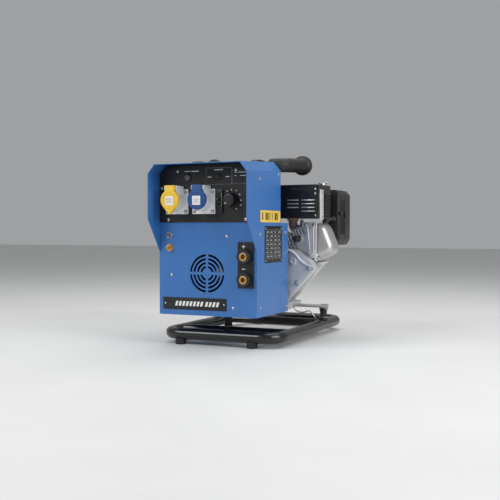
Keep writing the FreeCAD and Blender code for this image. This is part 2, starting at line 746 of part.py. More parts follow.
def make_breaker():
    half = s.breaker_width / 2
    low = (s.breaker_x - half, face_y - 5, s.outlet_z - s.breaker_height / 2)
    nose = box("breaker_nose", low, (s.breaker_width, 5, s.breaker_height))
    low = (s.breaker_x - half + 0.5, face_y, s.outlet_z - 23)
    rear = box("breaker_rear", low, (s.breaker_width - 1, 48, 46))
    slot_half = s.toggle_radius + 1.5
    low = (s.breaker_x - 4, face_y - 6, s.outlet_z - slot_half)
    slot = box("breaker_slot", low, (8, s.toggle_radius + 7, slot_half * 2))
    node(cut("breaker_slotted", fuse("breaker_solid", [nose, rear]), [slot]), "breaker_body")

    pivot = (as_size(face_y), s.outlet_z)
    core = rod("toggle_core", "x", (s.breaker_x - 3.5, pivot[0], pivot[1]), s.toggle_radius, 7)
    half_thick = s.toggle_thick / 2
    bar = [(pivot[0] - s.toggle_reach, pivot[1] - half_thick + 1), (pivot[0], pivot[1] - half_thick),
           (pivot[0], pivot[1] + half_thick), (pivot[0] - s.toggle_reach, pivot[1] + half_thick - 1)]
    bar = turned(bar, pivot, -s.toggle_lean)
    lever = prism("toggle_lever", "YZ", bar, s.breaker_x - 3.5, 7)
    node(fuse("toggle_solid", [core, lever]), "breaker_toggle")


def make_current_control():
    start = (s.knob_x, s.sheet_wall, s.knob_z)
    can = rod("pot_can", "y", start, 12, 16)
    tip_y = face_y - s.knob_height + 4
    start = (s.knob_x, tip_y, s.knob_z)
    spindle = rod("pot_spindle", "y", start, s.pot_shaft, s.sheet_wall - tip_y + 2)
    node(fuse("pot_solid", [can, spindle]), "current_potentiometer")
    back_y = face_y - 0.5
    start = (s.knob_x, back_y - s.knob_height, s.knob_z)
    grip = taper("knob_grip", "y", start, s.knob_radius - 3, s.knob_radius, s.knob_height)
    bore = rod("knob_bore", "y", (s.knob_x, tip_y, s.knob_z), s.pot_shaft + s.run_fit, 40)
    node(cut("knob_bored", grip, [bore]), "current_knob")


def make_selector():
    half = s.selector_width / 2
    pivot = (s.selector_x, as_size(2))
    outline = [(s.selector_x - half, face_y - 2), (s.selector_x, face_y - 4.5),
               (s.selector_x + half, face_y - 2), (s.selector_x + half, 8),
               (s.selector_x - half, 8)]
    outline = turned(outline, pivot, s.selector_lean)
    low = s.selector_z - s.selector_height / 2
    solid = prism("selector_solid", "XY", outline, low, s.selector_height)
    pivot_hole = rod("selector_pivot_hole", "z", (*pivot, low - 1), 2, s.selector_height + 2)
    node(cut("selector_bored", solid, [pivot_hole]), "selector_rocker")


def make_buttons():
    start = (s.idle_x, face_y - s.idle_reach, s.idle_z)
    barrel = rod("idle_barrel", "y", start, s.idle_radius, s.idle_reach + 10)
    node(barrel, "idle_button")
    start = (s.reset_x, -6, s.reset_z)
    node(rod("reset_barrel", "y", start, s.reset_radius, 16), "reset_button")


def make_earth_terminal():
    stud = rod("earth_bar", "y", (s.earth_x, -18, s.earth_z), s.earth_stud_radius, 30)
    washer = rod("earth_washer_disc", "y", (s.earth_x, -2, s.earth_z), s.earth_washer, 2)
    node(fuse("earth_stud_solid", [stud, washer]), "earth_stud")
    corners = []
    for step in range(6):
        bearing = math.radians(60 * step)
        reach = s.earth_nut_flat / math.cos(math.radians(30))
        corners.append((s.earth_x + reach * math.cos(bearing),
                        s.earth_z + reach * math.sin(bearing)))
    hexagon = prism("earth_nut_hexagon", "XZ", corners, -2 - s.slip - 6.5, 6.5)
    start = (s.earth_x, -20, s.earth_z)
    bore = rod("earth_nut_bore", "y", start, s.earth_stud_radius + s.run_fit, 30)
    node(cut("earth_nut_bored", hexagon, [bore]), "earth_nut")


def make_weld_sockets():
    bodies = []
    inserts = []
    for label, at_z in weld_socket_heights():
        front_y = face_y - s.weld_reach
        start = (s.weld_x, front_y, at_z)
        boss = rod(label + "_boss", "y", start, s.weld_boss, s.weld_reach)
        neck = rod(label + "_neck", "y", (s.weld_x, face_y - 1, at_z), s.weld_neck, 11)
        solid = fuse(label + "_insulator", [boss, neck])
        bore = rod(label + "_insulator_bore", "y", start, s.weld_insert, 60)
        bodies.append(cut(label + "_insulator_bored", solid, [bore]))
        start = (s.weld_x, front_y - 1, at_z)
        bush = rod(label + "_bush", "y", start, s.weld_insert, s.weld_bore_depth + 8)
        stud_start = (s.weld_x, front_y + s.weld_bore_depth + 2, at_z)
        stud = rod(label + "_stud", "y", stud_start, 5, 20)
        socket = fuse(label + "_bush_solid", [bush, stud])
        bore = rod(label + "_bore", "y", start, s.weld_bore, s.weld_bore_depth)
        inserts.append(cut(label + "_bush_bored", socket, [bore]))
    node(group("weld_insulators", bodies), "weld_socket_bodies")
    node(group("weld_bushes", inserts), "weld_socket_inserts")


# ---- carry handle ----------------------------------------------------------------------------

def grip_corner(name, side):
    """Rubber sleeve round the bend, with a short lead over the crossbar."""
    centre = ((s.handle_half - s.handle_bend) * side, s.handle_bend, 0)
    start_angle = -90 if side > 0 else 180
    elbow = quarter_ring(name + "_elbow", centre, s.handle_bend, s.grip_radius, start_angle)
    inner = quarter_ring(name + "_elbow_bore", centre, s.handle_bend, s.handle_tube, start_angle)
    hollow = cut(name + "_elbow_cut", elbow, [inner])
    low_x = s.handle_half - s.handle_bend - s.grip_lead if side > 0 else s.handle_bend - s.handle_half
    lead = rod(name + "_lead", "x", (low_x, 0, 0), s.grip_radius, s.grip_lead)
    bore = rod(name + "_lead_bore", "x", (low_x, 0, 0), s.handle_tube, s.grip_lead)
    return fuse(name + "_corner", [hollow, cut(name + "_lead_cut", lead, [bore])])


def make_carry_handle():
    """Bar across the back of the roof with two arms that carry the grips, in its own plane."""
    body = new_body("carry_handle")
    path = body_sketch(body, "XY")
    bend = s.handle_bend
    half = s.handle_half
    runs = [((-half, s.arm_length), (-half, bend)), ((bend - half, 0), (half - bend, 0)),
            ((half, bend), (half, s.arm_length))]
    centres = [bend - half, half - bend]
    quarter = math.pi / 2
    for index, (start, end) in enumerate(runs):
        spots = [FreeCAD.Vector(as_size(u).value, as_size(v).value, 0) for u, v in (start, end)]
        line = path.addGeometry(Part.LineSegment(spots[0], spots[1]), False)
        if index > 0:
            path.addConstraint(Sketcher.Constraint("Coincident", line - 1, 2, line, 1))
        pin_point(path, line, 1, start)
        pin_point(path, line, 2, end)
        if index < len(centres):
            centre = FreeCAD.Vector(centres[index].value, bend.value, 0)
            circle = Part.Circle(centre, FreeCAD.Vector(0, 0, 1), bend.value)
            turn = (index - 2) * quarter
            arc = path.addGeometry(Part.ArcOfCircle(circle, turn, turn + quarter), False)
            path.addConstraint(Sketcher.Constraint("Coincident", line, 2, arc, 1))
            held = Sketcher.Constraint("DistanceX", -1, 1, arc, 3, centres[index].value)
            number = path.addConstraint(held)
            path.setExpression("Constraints[%d]" % number, centres[index].text)
    section = body_sketch(body, "XZ", s.arm_length)
    draw_circle(section, (-half, 0), s.handle_tube)
    draw_circle(section, (-half, 0), s.handle_tube - s.tube_wall)
    doc.recompute()
    pipe = body.newObject("PartDesign::AdditivePipe", "carry_handle_pipe")
    pipe.Profile = section
    pipe.Spine = path
    body.Tip = pipe
    lean = (ALONG_X, s.roof_slope)
    at = (0, s.handle_y, s.handle_z)
    node(body, "carry_handle", at, lean)

    grips = []
    for side in (-1, 1):
        name = "grip_%s" % ("left" if side < 0 else "right")
        at_x = half * side
        sleeve = rod(name, "y", (at_x, bend, 0), s.grip_radius, s.grip_end - bend)
        rim = rod(name + "_rim", "y", (at_x, s.grip_end - 12, 0), s.grip_flange, 12)
        throat = taper(name + "_throat", "y", (at_x, s.grip_end - 24, 0), s.grip_radius,
                       s.grip_flange, 12)
        bore = rod(name + "_bore", "y", (at_x, bend, 0), s.handle_tube, s.arm_length)
        straight = cut(name + "_bored", fuse(name + "_solid", [sleeve, rim, throat]), [bore])
        corner = grip_corner(name, side)
        grips.append(fuse(name + "_whole", [straight, corner]))
    node(group("grip_pair", grips), "handle_grips", at, lean)

    clamps = []
    for side in (-1, 1):
        name = "clamp_%d" % (side + 1)
        block_half = s.handle_tube + 4
        low = (s.clamp_x * side - s.clamp_width / 2, s.upper_depth, s.handle_z - block_half)
        span = (s.clamp_width, s.handle_y - s.upper_depth + block_half, block_half * 2)
        block = box(name, low, span)
        start = (s.clamp_x * side - 30, s.handle_y, s.handle_z)
        bore = rod(name + "_bore", "x", start, s.handle_tube, 60)
        clamps.append(cut(name + "_bored", block, [bore]))
    node(group("clamp_pair", clamps), "handle_clamps")


# ---- inside the canopy -----------------------------------------------------------------------

def make_inverter_module():
    front = 30
    depth = 175
    height = 235
    back_plate = box("heatsink_plate", (-inner_half, front, floor_top), (8, depth, height))
    pieces = [back_plate]
    for step in range(9):
        low = (-inner_half + 7, front + 4 + step * 20.5, floor_top)
        pieces.append(box("heatsink_fin_%d" % step, low, (30, 3, height)))
    board_low = (-inner_half + 36, front, floor_top)
    pieces.append(box("inverter_board", board_low, (3, depth, height)))
    node(fuse("inverter_solid", pieces), "inverter_module")


def make_alternator():
    length = s.case_front - s.stator_front
    start = (0, s.stator_front, s.shaft_z)
    ring = rod("stator_ring", "y", start, s.stator_radius, length)
    foot_length = s.lower_depth - s.sheet_wall - 20 - s.stator_front
    foot_low = (-45, s.stator_front + 10, floor_top)
    foot = box("stator_foot", foot_low, (90, foot_length, s.shaft_z - 70 - floor_top))
    bore = rod("stator_bore_tool", "y", start, s.stator_bore, length)
    node(cut("stator_bored", fuse("stator_solid", [ring, foot]), [bore]), "alternator_stator")
    start = (0, s.stator_front + 4, s.shaft_z)
    drum = rod("rotor_drum", "y", start, s.stator_bore - 1, length - 12)
    bore = rod("rotor_bore", "y", start, s.shaft_radius, length)
    node(cut("rotor_bored", drum, [bore]), "alternator_rotor")


def make_cooling_fan():
    """Axial fan on the front end of the shaft, drawn about its own axis."""
    body = new_body("cooling_fan")
    front = s.stator_front - 38
    hub = body_sketch(body, "XZ", front)
    draw_circle(hub, (0, 0), 20)
    draw_circle(hub, (0, 0), s.shaft_radius)
    pad(body, hub, 26)
    blade = body_sketch(body, "XY", 19)
    draw_outline(blade, [(-13, front + 3), (-10, front + 2), (13, front + 22), (10, front + 23)])
    blade_pad = pad(body, blade, s.fan_radius - 19)
    doc.recompute()
    pattern = body.newObject("PartDesign::PolarPattern", "cooling_fan_blades")
    pattern.Originals = [blade_pad]
    axis = next(item for item in body.Origin.OriginFeatures if item.Role == "Y_Axis")
    pattern.Axis = (axis, [""])
    pattern.Angle = 360
    pattern.Occurrences = 7
    body.Tip = pattern
    node(body, "cooling_fan", (0, 0, s.shaft_z))


# ---- engine ----------------------------------------------------------------------------------

tilt_back = (ALONG_Y, -s.cylinder_tilt)
tilt_origin = (0, s.cylinder_y, s.shaft_z)


def on_cylinder_axis(along, across):
    """X and Z of a point given along and across the leaning cylinder."""
    lean = s.cylinder_tilt
    at_x = as_size(along) * cosine(lean) - as_size(across) * sine(lean)
    at_z = s.shaft_z + as_size(along) * sine(lean) + as_size(across) * cosine(lean)
    return at_x, at_z


def make_crankcase():
    body = new_body("crankcase_casting")
    floor = s.canopy_floor
    lean_low = on_cylinder_axis(110, -s.fin_half - 4)
    lean_high = on_cylinder_axis(110, s.fin_half + 6)
    nose = on_cylinder_axis(205, -s.head_half - 3)
    left = -s.foot_half
    toe = 130
    heel = 100
    left_side = [lean_high, (-45, lean_high[1]), (left + 12, 240), (left, 150)]
    cover = [(left, floor), (toe, floor), (toe, floor + 20), (224, 213), (206, 234), (165, 262),
             (118, 268)]
    flange = [(left, floor), (toe, floor), (toe, floor + 20), (224, 213), nose, lean_low]
    main = [(left, floor), (heel, floor), (heel, floor + 20), (190, 207), nose, lean_low]
    levels = (s.case_front, s.case_flank, s.case_flange, s.case_back)
    for outline, low, high in zip((cover, flange, main), levels, levels[1:]):
        sketch = body_sketch(body, "XZ", low)
        draw_outline(sketch, outline + left_side)
        pad(body, sketch, high - low)
    foot = body_sketch(body, "XZ", s.case_back)
    draw_outline(foot, rectangle(left, s.foot_half, floor, floor + s.foot_high))
    pad(body, foot, s.foot_back - s.case_back)
    start_y = s.case_front + 20
    cavity = rod("crank_cavity", "y", (0, start_y, s.shaft_z), 58, s.case_back - s.case_front - 40)
    shaft = rod("crank_bearing", "y", (0, s.case_front - 1, s.shaft_z),
                s.shaft_radius + s.run_fit, s.case_back - s.case_front + 2)
    start = (left - 1, s.cylinder_y, floor + 27)
    filler = rod("oil_filler_hole", "x", start, 8 + s.run_fit, 24)
    spigot = doc.addObject("Part::Cylinder", "barrel_hole")
    turn = FreeCAD.Rotation(ALONG_Y, 90 - s.cylinder_tilt.value)
    spigot.Placement = FreeCAD.Placement(FreeCAD.Vector(), turn)
    bind(spigot, "Placement.Rotation.Angle", 90 - s.cylinder_tilt)
    bind_point(spigot, tilt_origin)
    bind(spigot, "Radius", s.barrel_radius)
    bind(spigot, "Height", 130)
    node(cut("crankcase_bored", body, [cavity, shaft, filler, spigot]), "crankcase")

    start = (left - 16 - s.slip, s.cylinder_y, floor + 27)
    head = rod("oil_plug_head", "x", start, 12, 16)
    shank = rod("oil_plug_shank", "x", (left - 2, s.cylinder_y, floor + 27), 8, 20)
    node(fuse("oil_plug_solid", [head, shank]), "oil_plug")


def make_cylinder_group():
    """Barrel, head, rocker cover, piston and spark plug along the leaning cylinder axis."""
    top = s.head_low
    barrel = rod("barrel_tube", "x", (60, 0, 0), s.barrel_radius, top - 60)
    pieces = [barrel]
    for step in range(6):
        low = (112 + step * 9, -s.fin_half, -s.fin_half)
        fin = box("barrel_fin_%d" % step, low, (3.5, s.fin_half * 2, s.fin_half * 2))
        pieces.append(fin)
    bore = rod("barrel_bore", "x", (0, 0, 0), s.piston_radius + s.run_fit, top + 1)
    drawn = cut("barrel_bored", fuse("barrel_solid", pieces), [bore])
    node(drawn, "cylinder", tilt_origin, tilt_back)
    piston_solid = rod("piston_crown", "x", (95, 0, 0), s.piston_radius, 40)
    hollow = rod("piston_hollow", "x", (94, 0, 0), s.piston_radius - 5, 34)
    node(cut("piston_turned", piston_solid, [hollow]), "piston", tilt_origin, tilt_back)

    head = new_body("head_casting")
    outline = body_sketch(head, "YZ", s.head_low)
    draw_outline(outline, rectangle(-s.head_half, s.head_half, -s.head_half, s.head_half))
    pad(head, outline, s.head_high - s.head_low)
    grooves = body_sketch(head, "XZ", s.head_half)
    for step in range(4):
        left = s.head_low + 5 + step * 8.5
        draw_outline(grooves, rectangle(left, left + 3.5, s.head_half - 18, s.head_half + 1))
        draw_outline(grooves, rectangle(left, left + 3.5, -s.head_half - 1, 18 - s.head_half))
    pocket_both_ways(head, grooves)
    node(head, "cylinder_head", tilt_origin, tilt_back)

    cover = new_body("cover_pressing")
    outline = body_sketch(cover, "YZ", s.head_high)
    draw_outline(outline, rectangle(-s.cover_half_y, s.cover_half_y, -s.head_half, s.head_half))
    pad(cover, outline, s.cover_high - s.head_high)
    round_edges(cover, 18, runs_along(ALONG_X))
    doc.recompute()
    outer_level = s.cover_high.value

    def at_crown(edge):
        return abs(edge.BoundBox.XMin - outer_level) < 1e-3 and edge.BoundBox.XLength < 1e-3

    round_edges(cover, 12, at_crown)
    node(cover, "rocker_cover", tilt_origin, tilt_back)

    front = -s.head_half
    thread = rod("plug_shell", "y", (185, front - 12, 25), 10, 12)
    ceramic = rod("plug_ceramic", "y", (185, front - 34, 25), 7, 24)
    node(fuse("plug_solid", [thread, ceramic]), "spark_plug", tilt_origin, tilt_back)


def make_crank_train():
    """Crankshaft with round webs, the flywheel and the starter cup behind it."""
    web = 15
    pin_gap = 30
    middle = s.cylinder_y
    start_y = s.stator_front - 42
    shaft = rod("shaft_bar", "y", (0, start_y, s.shaft_z), s.shaft_radius, 448 - start_y)
    front_web_y = middle - pin_gap / 2 - web
    front_web = rod("web_front", "y", (0, front_web_y, s.shaft_z), s.web_radius, web)
    rear_web = rod("web_rear", "y", (0, middle + pin_gap / 2, s.shaft_z), s.web_radius, web)
    pin_start = (s.crank_throw, middle - pin_gap / 2, s.shaft_z)
    crank_pin = rod("crank_pin", "y", pin_start, 15, pin_gap)
    gap_start = (0, middle - pin_gap / 2, s.shaft_z)
    gap = rod("pin_gap_tool", "y", gap_start, s.shaft_radius, pin_gap)
    spine = cut("shaft_split", shaft, [gap])
    node(fuse("crank_solid", [spine, front_web, rear_web, crank_pin]), "crankshaft")
    rim_start = (0, 405, s.shaft_z)
    rim = rod("flywheel_rim", "y", rim_start, s.flywheel_radius, 32)
    dish = rod("flywheel_dish", "y", (0, 422, s.shaft_z), s.flywheel_radius - 14, 20)
    rim_cut = cut("flywheel_dished", rim, [dish])
    hub = rod("flywheel_hub", "y", rim_start, 26, 40)
    cup = rod("starter_cup", "y", (0, 440, s.shaft_z), 34, 30)
    solid = fuse("flywheel_solid", [rim_cut, hub, cup])
    bore = rod("flywheel_bore", "y", (0, 400, s.shaft_z), s.shaft_radius, 48)
    node(cut("flywheel_bored", solid, [bore]), "flywheel")


def make_blower():
    front = s.case_back
    depth = s.blower_back - front
    start = (0, front, s.shaft_z)
    shell = rod("blower_shell", "y", start, s.blower_radius, depth)
    keep_low = (-s.blower_radius, front, s.blower_floor)
    keep = box("blower_keep", keep_low, (s.blower_radius * 2, depth, s.blower_radius * 2 + 20))
    outer = common("blower_outer", [shell, keep])
    inner_start = (0, front + 3, s.shaft_z)
    inner_shell = rod("blower_inner_shell", "y", inner_start, s.blower_radius - 4, depth - 6)
    inner_low = (-s.blower_radius, front + 3, s.blower_floor + 3)
    inner_keep = box("blower_inner_keep", inner_low,
                     (s.blower_radius * 2, depth - 6, s.blower_radius * 2))
    inner = common("blower_inner", [inner_shell, inner_keep])
    shaft_hole = rod("blower_shaft_hole", "y", (0, front - 1, s.shaft_z), 50, 10)
    back_hole = rod("blower_back_hole", "y", (0, s.blower_back - 10, s.shaft_z),
                    s.recoil_radius - 8, 20)
    node(cut("blower_hollow", outer, [inner, shaft_hole, back_hole]), "blower_housing")

    start = (0, s.blower_back, s.shaft_z)
    dome = rod("recoil_dome", "y", start, s.recoil_radius, s.recoil_depth)
    guide_low = (-64, s.blower_back + 12, s.shaft_z + 60)
    guide = box("rope_guide", guide_low, (14, 16, 31))
    hollow = rod("recoil_hollow", "y", start, s.recoil_radius - 5, s.recoil_depth - 4)
    vents = []
    for step in range(12):
        bearing = math.radians(30 * step + 15)
        hole_x = 62 * math.cos(bearing)
        hole_z = s.shaft_z + 62 * math.sin(bearing)
        start = (hole_x, s.blower_back + 10, hole_z)
        vents.append(rod("recoil_vent_%d" % step, "y", start, 8, 40))
    solid = fuse("recoil_solid", [cut("recoil_cupped", dome, [hollow]), guide])
    node(cut("recoil_vented", solid, vents), "recoil_cover")

    grip_z = s.shaft_z + 91 + s.slip + 11
    grip_start = (-85, s.blower_back + 20, grip_z)
    node(rod("starter_bar", "x", grip_start, 11, 56), "starter_grip")
    start = (82, s.blower_back + s.slip, s.shaft_z + 74)
    disc = rod("switch_disc", "y", start, 11, 7)
    bar_low = (79, s.blower_back + s.slip, s.shaft_z + 64)
    bar = box("switch_bar", bar_low, (6, 15, 20))
    node(fuse("switch_solid", [disc, bar]), "engine_switch")


def make_exhaust():
    wall = 1.5
    wide = s.guard_right - s.guard_left
    deep = s.guard_back - s.guard_front
    tall = s.guard_high - s.guard_low
    body = new_body("guard_pressing")
    outline = body_sketch(body, "XY", s.guard_low)
    draw_outline(outline, rectangle(s.guard_left, s.guard_right, s.guard_front, s.guard_back))
    pad(body, outline, tall)
    round_edges(body, 8, runs_along(ALONG_Z))
    inner_low = (s.guard_left + wall, s.guard_front + wall, s.guard_low - 1)
    inner_span = (wide - 2 * wall, deep - 2 * wall, tall - wall + 1)
    inner = box("guard_inner", inner_low, inner_span)
    slots = []
    for level in range(4):
        at_z = s.guard_low + 19 + level * 10.5
        for step, (from_x, length) in enumerate(((33, 36), (76, 42))):
            if level == 0 and step == 0:
                continue
            low = (s.guard_left + from_x, s.guard_front - 1, at_z)
            name = "guard_slot_%d_%d" % (level, step)
            slots.append(box(name, low, (length, wall + 2, 4)))
    for step in range(8):
        low = (s.guard_left + 42 + step * 8, s.guard_front - 1, s.guard_high - 14)
        slots.append(box("guard_vent_%d" % step, low, (4, wall + 2, 4)))
    node(cut("guard_slotted", body, [inner] + slots), "muffler_guard")

    gap = 6
    low = (s.guard_left + gap, s.guard_front + gap, s.guard_low + gap)
    span = (wide - 2 * gap, deep - 2 * gap, tall - gap - wall)
    node(box("muffler_box", low, span), "muffler")

    pipe_y = s.cylinder_y - 30
    bottom = s.shaft_z + 107
    elbow_z = bottom + s.pipe_radius
    pipe_height = s.guard_low + gap - bottom
    inside = s.pipe_radius - s.pipe_wall
    outer = rod("exhaust_outer", "z", (s.pipe_x, pipe_y, bottom), s.pipe_radius, pipe_height)
    elbow = rod("exhaust_elbow", "x", (s.pipe_x, pipe_y, elbow_z), s.pipe_radius, 34)
    inner = rod("exhaust_inner", "z", (s.pipe_x, pipe_y, elbow_z), inside, pipe_height)
    collar = rod("exhaust_collar", "z", (s.pipe_x, pipe_y, s.guard_low + gap - 14), 17, 14)
    head = doc.addObject("Part::Box", "exhaust_head_tool")
    head.Placement = FreeCAD.Placement(FreeCAD.Vector(), FreeCAD.Rotation(ALONG_Y, 0))
    turn = FreeCAD.Rotation(ALONG_Y, -s.cylinder_tilt.value)
    head.Placement = FreeCAD.Placement(FreeCAD.Vector(), turn)
    bind(head, "Placement.Rotation.Angle", -s.cylinder_tilt)
    corner_x, corner_z = on_cylinder_axis(100, -s.head_half)
    bind_point(head, (corner_x, s.cylinder_y - s.head_half, corner_z))
    bind(head, "Length", 120)
    bind(head, "Width", s.head_half * 2)
    bind(head, "Height", s.head_half * 2)
    pipe = fuse("exhaust_solid", [outer, elbow, collar])
    node(cut("exhaust_fitted", pipe, [inner, head]), "exhaust_pipe")


def make_intake():
    carb_x, carb_z = on_cylinder_axis(178, 0)
    back = s.cylinder_y + s.head_half
    throat = rod("carb_throat", "y", (carb_x, back, carb_z), 14, 55)
    bowl = rod("carb_bowl", "z", (carb_x, back + 30, carb_z - 34), 15, 34)
    elbow_length = s.cleaner_left - carb_x
    riser = rod("carb_riser", "z", (carb_x, back + 40, carb_z), 11, 45)
    elbow_start = (carb_x, back + 40, carb_z + 35)
    elbow = rod("carb_elbow", "x", elbow_start, 11, elbow_length)
    node(fuse("carb_solid", [throat, bowl, riser, elbow]), "carburettor")
    lever_y = back + 55 + s.slip
    disc = rod("choke_disc", "y", (carb_x, lever_y, carb_z), 6, 3)
    arm = box("choke_arm", (carb_x, lever_y, carb_z - 4), (42, 3, 8))
    node(fuse("choke_solid", [disc, arm]), "choke_lever")

    chamfer = 15
    body = new_body("cleaner_moulding")
    outline = body_sketch(body, "XZ", s.cleaner_front)
    draw_outline(outline, [
        (s.cleaner_left, s.cleaner_low), (s.cleaner_right - 12, s.cleaner_low),
        (s.cleaner_right, s.cleaner_low + 20), (s.cleaner_right, s.cleaner_high - chamfer),
        (s.cleaner_right - chamfer, s.cleaner_high), (s.cleaner_left, s.cleaner_high)])
    pad(body, outline, s.cleaner_back - s.cleaner_front)
    round_edges(body, 9, runs_along(ALONG_Z))
    hollow = body_sketch(body, "XZ", (s.cleaner_front + s.cleaner_back) / 2)
    wall = 3
    draw_outline(hollow, rectangle(s.cleaner_left + wall, s.cleaner_right - wall,
                                   s.cleaner_low + 22, s.cleaner_high - chamfer - 4))
    pocket_both_ways(body, hollow, s.cleaner_back - s.cleaner_front - 2 * wall)
    node(body, "air_cleaner")


def make_fuel_tank():
    body = new_body("tank_pressing")
    outline = body_sketch(body, "XY", s.tank_low)
    draw_outline(outline, rectangle(s.tank_left, s.tank_right, s.tank_front, s.tank_back))
    pad(body, outline, s.tank_high - s.tank_low)
    round_edges(body, 24, runs_along(ALONG_Z))
    middle_y = (s.tank_front + s.tank_back) / 2
    neck_start = (s.filler_x, middle_y, s.tank_high - 1)
    neck = rod("tank_neck", "z", neck_start, s.filler_radius, 9)
    wall = s.tank_wall
    low = (s.tank_left + 8, s.tank_front + 8, s.tank_low + wall)
    span = (s.tank_right - s.tank_left - 16, s.tank_back - s.tank_front - 16,
            s.tank_high - s.tank_low - 2 * wall)
    hollow = box("tank_hollow", low, span)
    mouth_start = (s.filler_x, middle_y, s.tank_high - 10)
    mouth = rod("tank_mouth", "z", mouth_start, s.filler_radius - 3, 30)
    legs = []
    lean_top = on_cylinder_axis(110, s.fin_half + 6)[1]
    for name, along_y in (("front", 250), ("rear", 370)):
        leg_span = (50, 12, s.tank_low - lean_top)
        legs.append(box("tank_leg_" + name, (-45, along_y, lean_top), leg_span))
    solid = fuse("tank_solid", [body, neck] + legs)
    node(cut("tank_hollowed", solid, [hollow, mouth]), "fuel_tank")
    cap_start = (s.filler_x, middle_y, s.tank_high + 8 + s.slip)
    disc = rod("cap_disc", "z", cap_start, s.cap_radius, 16)
    flutes = []
    for step in range(6):
        bearing = math.radians(60 * step)
        reach = s.cap_radius + 5
        flute_x = s.filler_x + reach * math.cos(bearing)
        flute_y = middle_y + reach * math.sin(bearing)
        flutes.append(rod("cap_flute_%d" % step, "z", (flute_x, flute_y, s.tank_high + 12), 8, 20))
    node(cut("cap_fluted", disc, flutes), "fuel_cap")


make_base_loop()
make_cross_tubes()
make_rubber_feet()
make_rubber_mounts()
make_engine_rail()
make_hood()
make_front_panel()
make_control_panel()
make_rear_bulkhead()
make_bottom_tray()
make_front_plates()
make_panel_screws()
make_outlets()
make_breaker()
make_current_control()
make_selector()
make_buttons()
make_earth_terminal()
make_weld_sockets()
make_carry_handle()
make_inverter_module()
make_alternator()
make_cooling_fan()
make_crankcase()
make_cylinder_group()
make_crank_train()
make_blower()
make_exhaust()
make_intake()
make_fuel_tank()

doc.recompute()
for item in doc.Objects:
    if "Invalid" in item.State or "Error" in item.State:
        raise RuntimeError("%s is in state %s" % (item.Name, item.State))
for item in nodes:
    if item.Shape.isNull() or not item.Shape.isValid():
        raise RuntimeError("%s has no valid shape" % item.Label)

os.makedirs("parts", exist_ok=True)
whole = FreeCAD.BoundBox()
for item in nodes:
    whole.add(item.Shape.BoundBox)
    item.Shape.exportStep("parts/%s.step" % item.Label)
print("%d sub-parts" % len(nodes))
print("box", [round(v, 2) for v in (whole.XMin, whole.YMin, whole.ZMin, whole.XMax, whole.YMax, whole.ZMax)])
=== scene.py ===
"""Looks of an engine driven welder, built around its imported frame.

Lengths are metres in the frame's axes. Where a comment says millimetres, x counts from the crank axis,
y from the front panel's plane to the rear, and z from the floor.
"""

import json
import math

import bmesh
import bpy
from mathutils import Matrix, Vector


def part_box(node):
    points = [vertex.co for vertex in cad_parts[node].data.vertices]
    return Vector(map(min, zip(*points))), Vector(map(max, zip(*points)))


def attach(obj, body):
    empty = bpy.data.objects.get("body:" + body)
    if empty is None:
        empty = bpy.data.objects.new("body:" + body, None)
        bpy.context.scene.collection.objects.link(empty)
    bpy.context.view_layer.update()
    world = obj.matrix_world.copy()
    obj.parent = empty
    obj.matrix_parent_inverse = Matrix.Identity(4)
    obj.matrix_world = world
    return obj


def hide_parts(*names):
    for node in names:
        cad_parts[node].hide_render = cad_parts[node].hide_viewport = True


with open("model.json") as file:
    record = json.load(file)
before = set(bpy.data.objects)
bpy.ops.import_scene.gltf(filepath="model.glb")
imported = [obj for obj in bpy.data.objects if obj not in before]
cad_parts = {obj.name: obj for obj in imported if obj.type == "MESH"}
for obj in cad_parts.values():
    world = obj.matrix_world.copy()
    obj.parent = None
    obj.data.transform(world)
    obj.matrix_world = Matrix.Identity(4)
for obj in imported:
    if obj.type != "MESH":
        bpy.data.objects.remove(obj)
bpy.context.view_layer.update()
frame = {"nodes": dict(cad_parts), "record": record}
nodes = frame["nodes"]
behaviour = frame["record"]["behaviour"]
node_slot = {part["node"]: part["material_slot"] for part in frame["record"]["subparts"]}
node_body = {name: body for body, names in behaviour["bodies"].items() for name in names}

MM = 0.001
SOFT_ANGLE = math.radians(32)
CORNERS = ((-1, -1), (-1, 1), (1, -1), (1, 1))

# ---- places worked out from the frame

shaft_low, shaft_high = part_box("crankshaft")
shaft_x = (shaft_low.x + shaft_high.x) / 2
shaft_z = (shaft_low.z + shaft_high.z) / 2
panel_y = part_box("front_panel")[0].y
FRONT = Vector((0, -1, 0))
REAR = Vector((0, 1, 0))
RIGHT = Vector((1, 0, 0))
UP = Vector((0, 0, 1))


def spot(x, y, z):
    """Point given in millimetres."""
    return Vector((shaft_x + x * MM, panel_y + y * MM, z * MM))


def measured(node):
    """Low corner, high corner and middle of a node's box."""
    low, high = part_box(node)
    return low, high, (low + high) / 2


def facing(place, normal, turn=0.0):
    """Matrix that puts a shape's +Z along normal, with its origin at place."""
    lie = Vector(normal).to_track_quat("Z", "Y").to_matrix().to_4x4()
    return Matrix.Translation(place) @ lie @ Matrix.Rotation(turn, 4, "Z")


def at(x, y, z, normal=FRONT, turn=0.0):
    """The same matrix for a place given in millimetres."""
    return facing(spot(x, y, z), normal, turn)


def on_front(centre, y):
    """Matrix for a shape that faces front, level with centre, from the plane at y."""
    return facing((centre.x, y, centre.z), FRONT)


def in_metres(points):
    return [tuple(value * MM for value in point) for point in points]


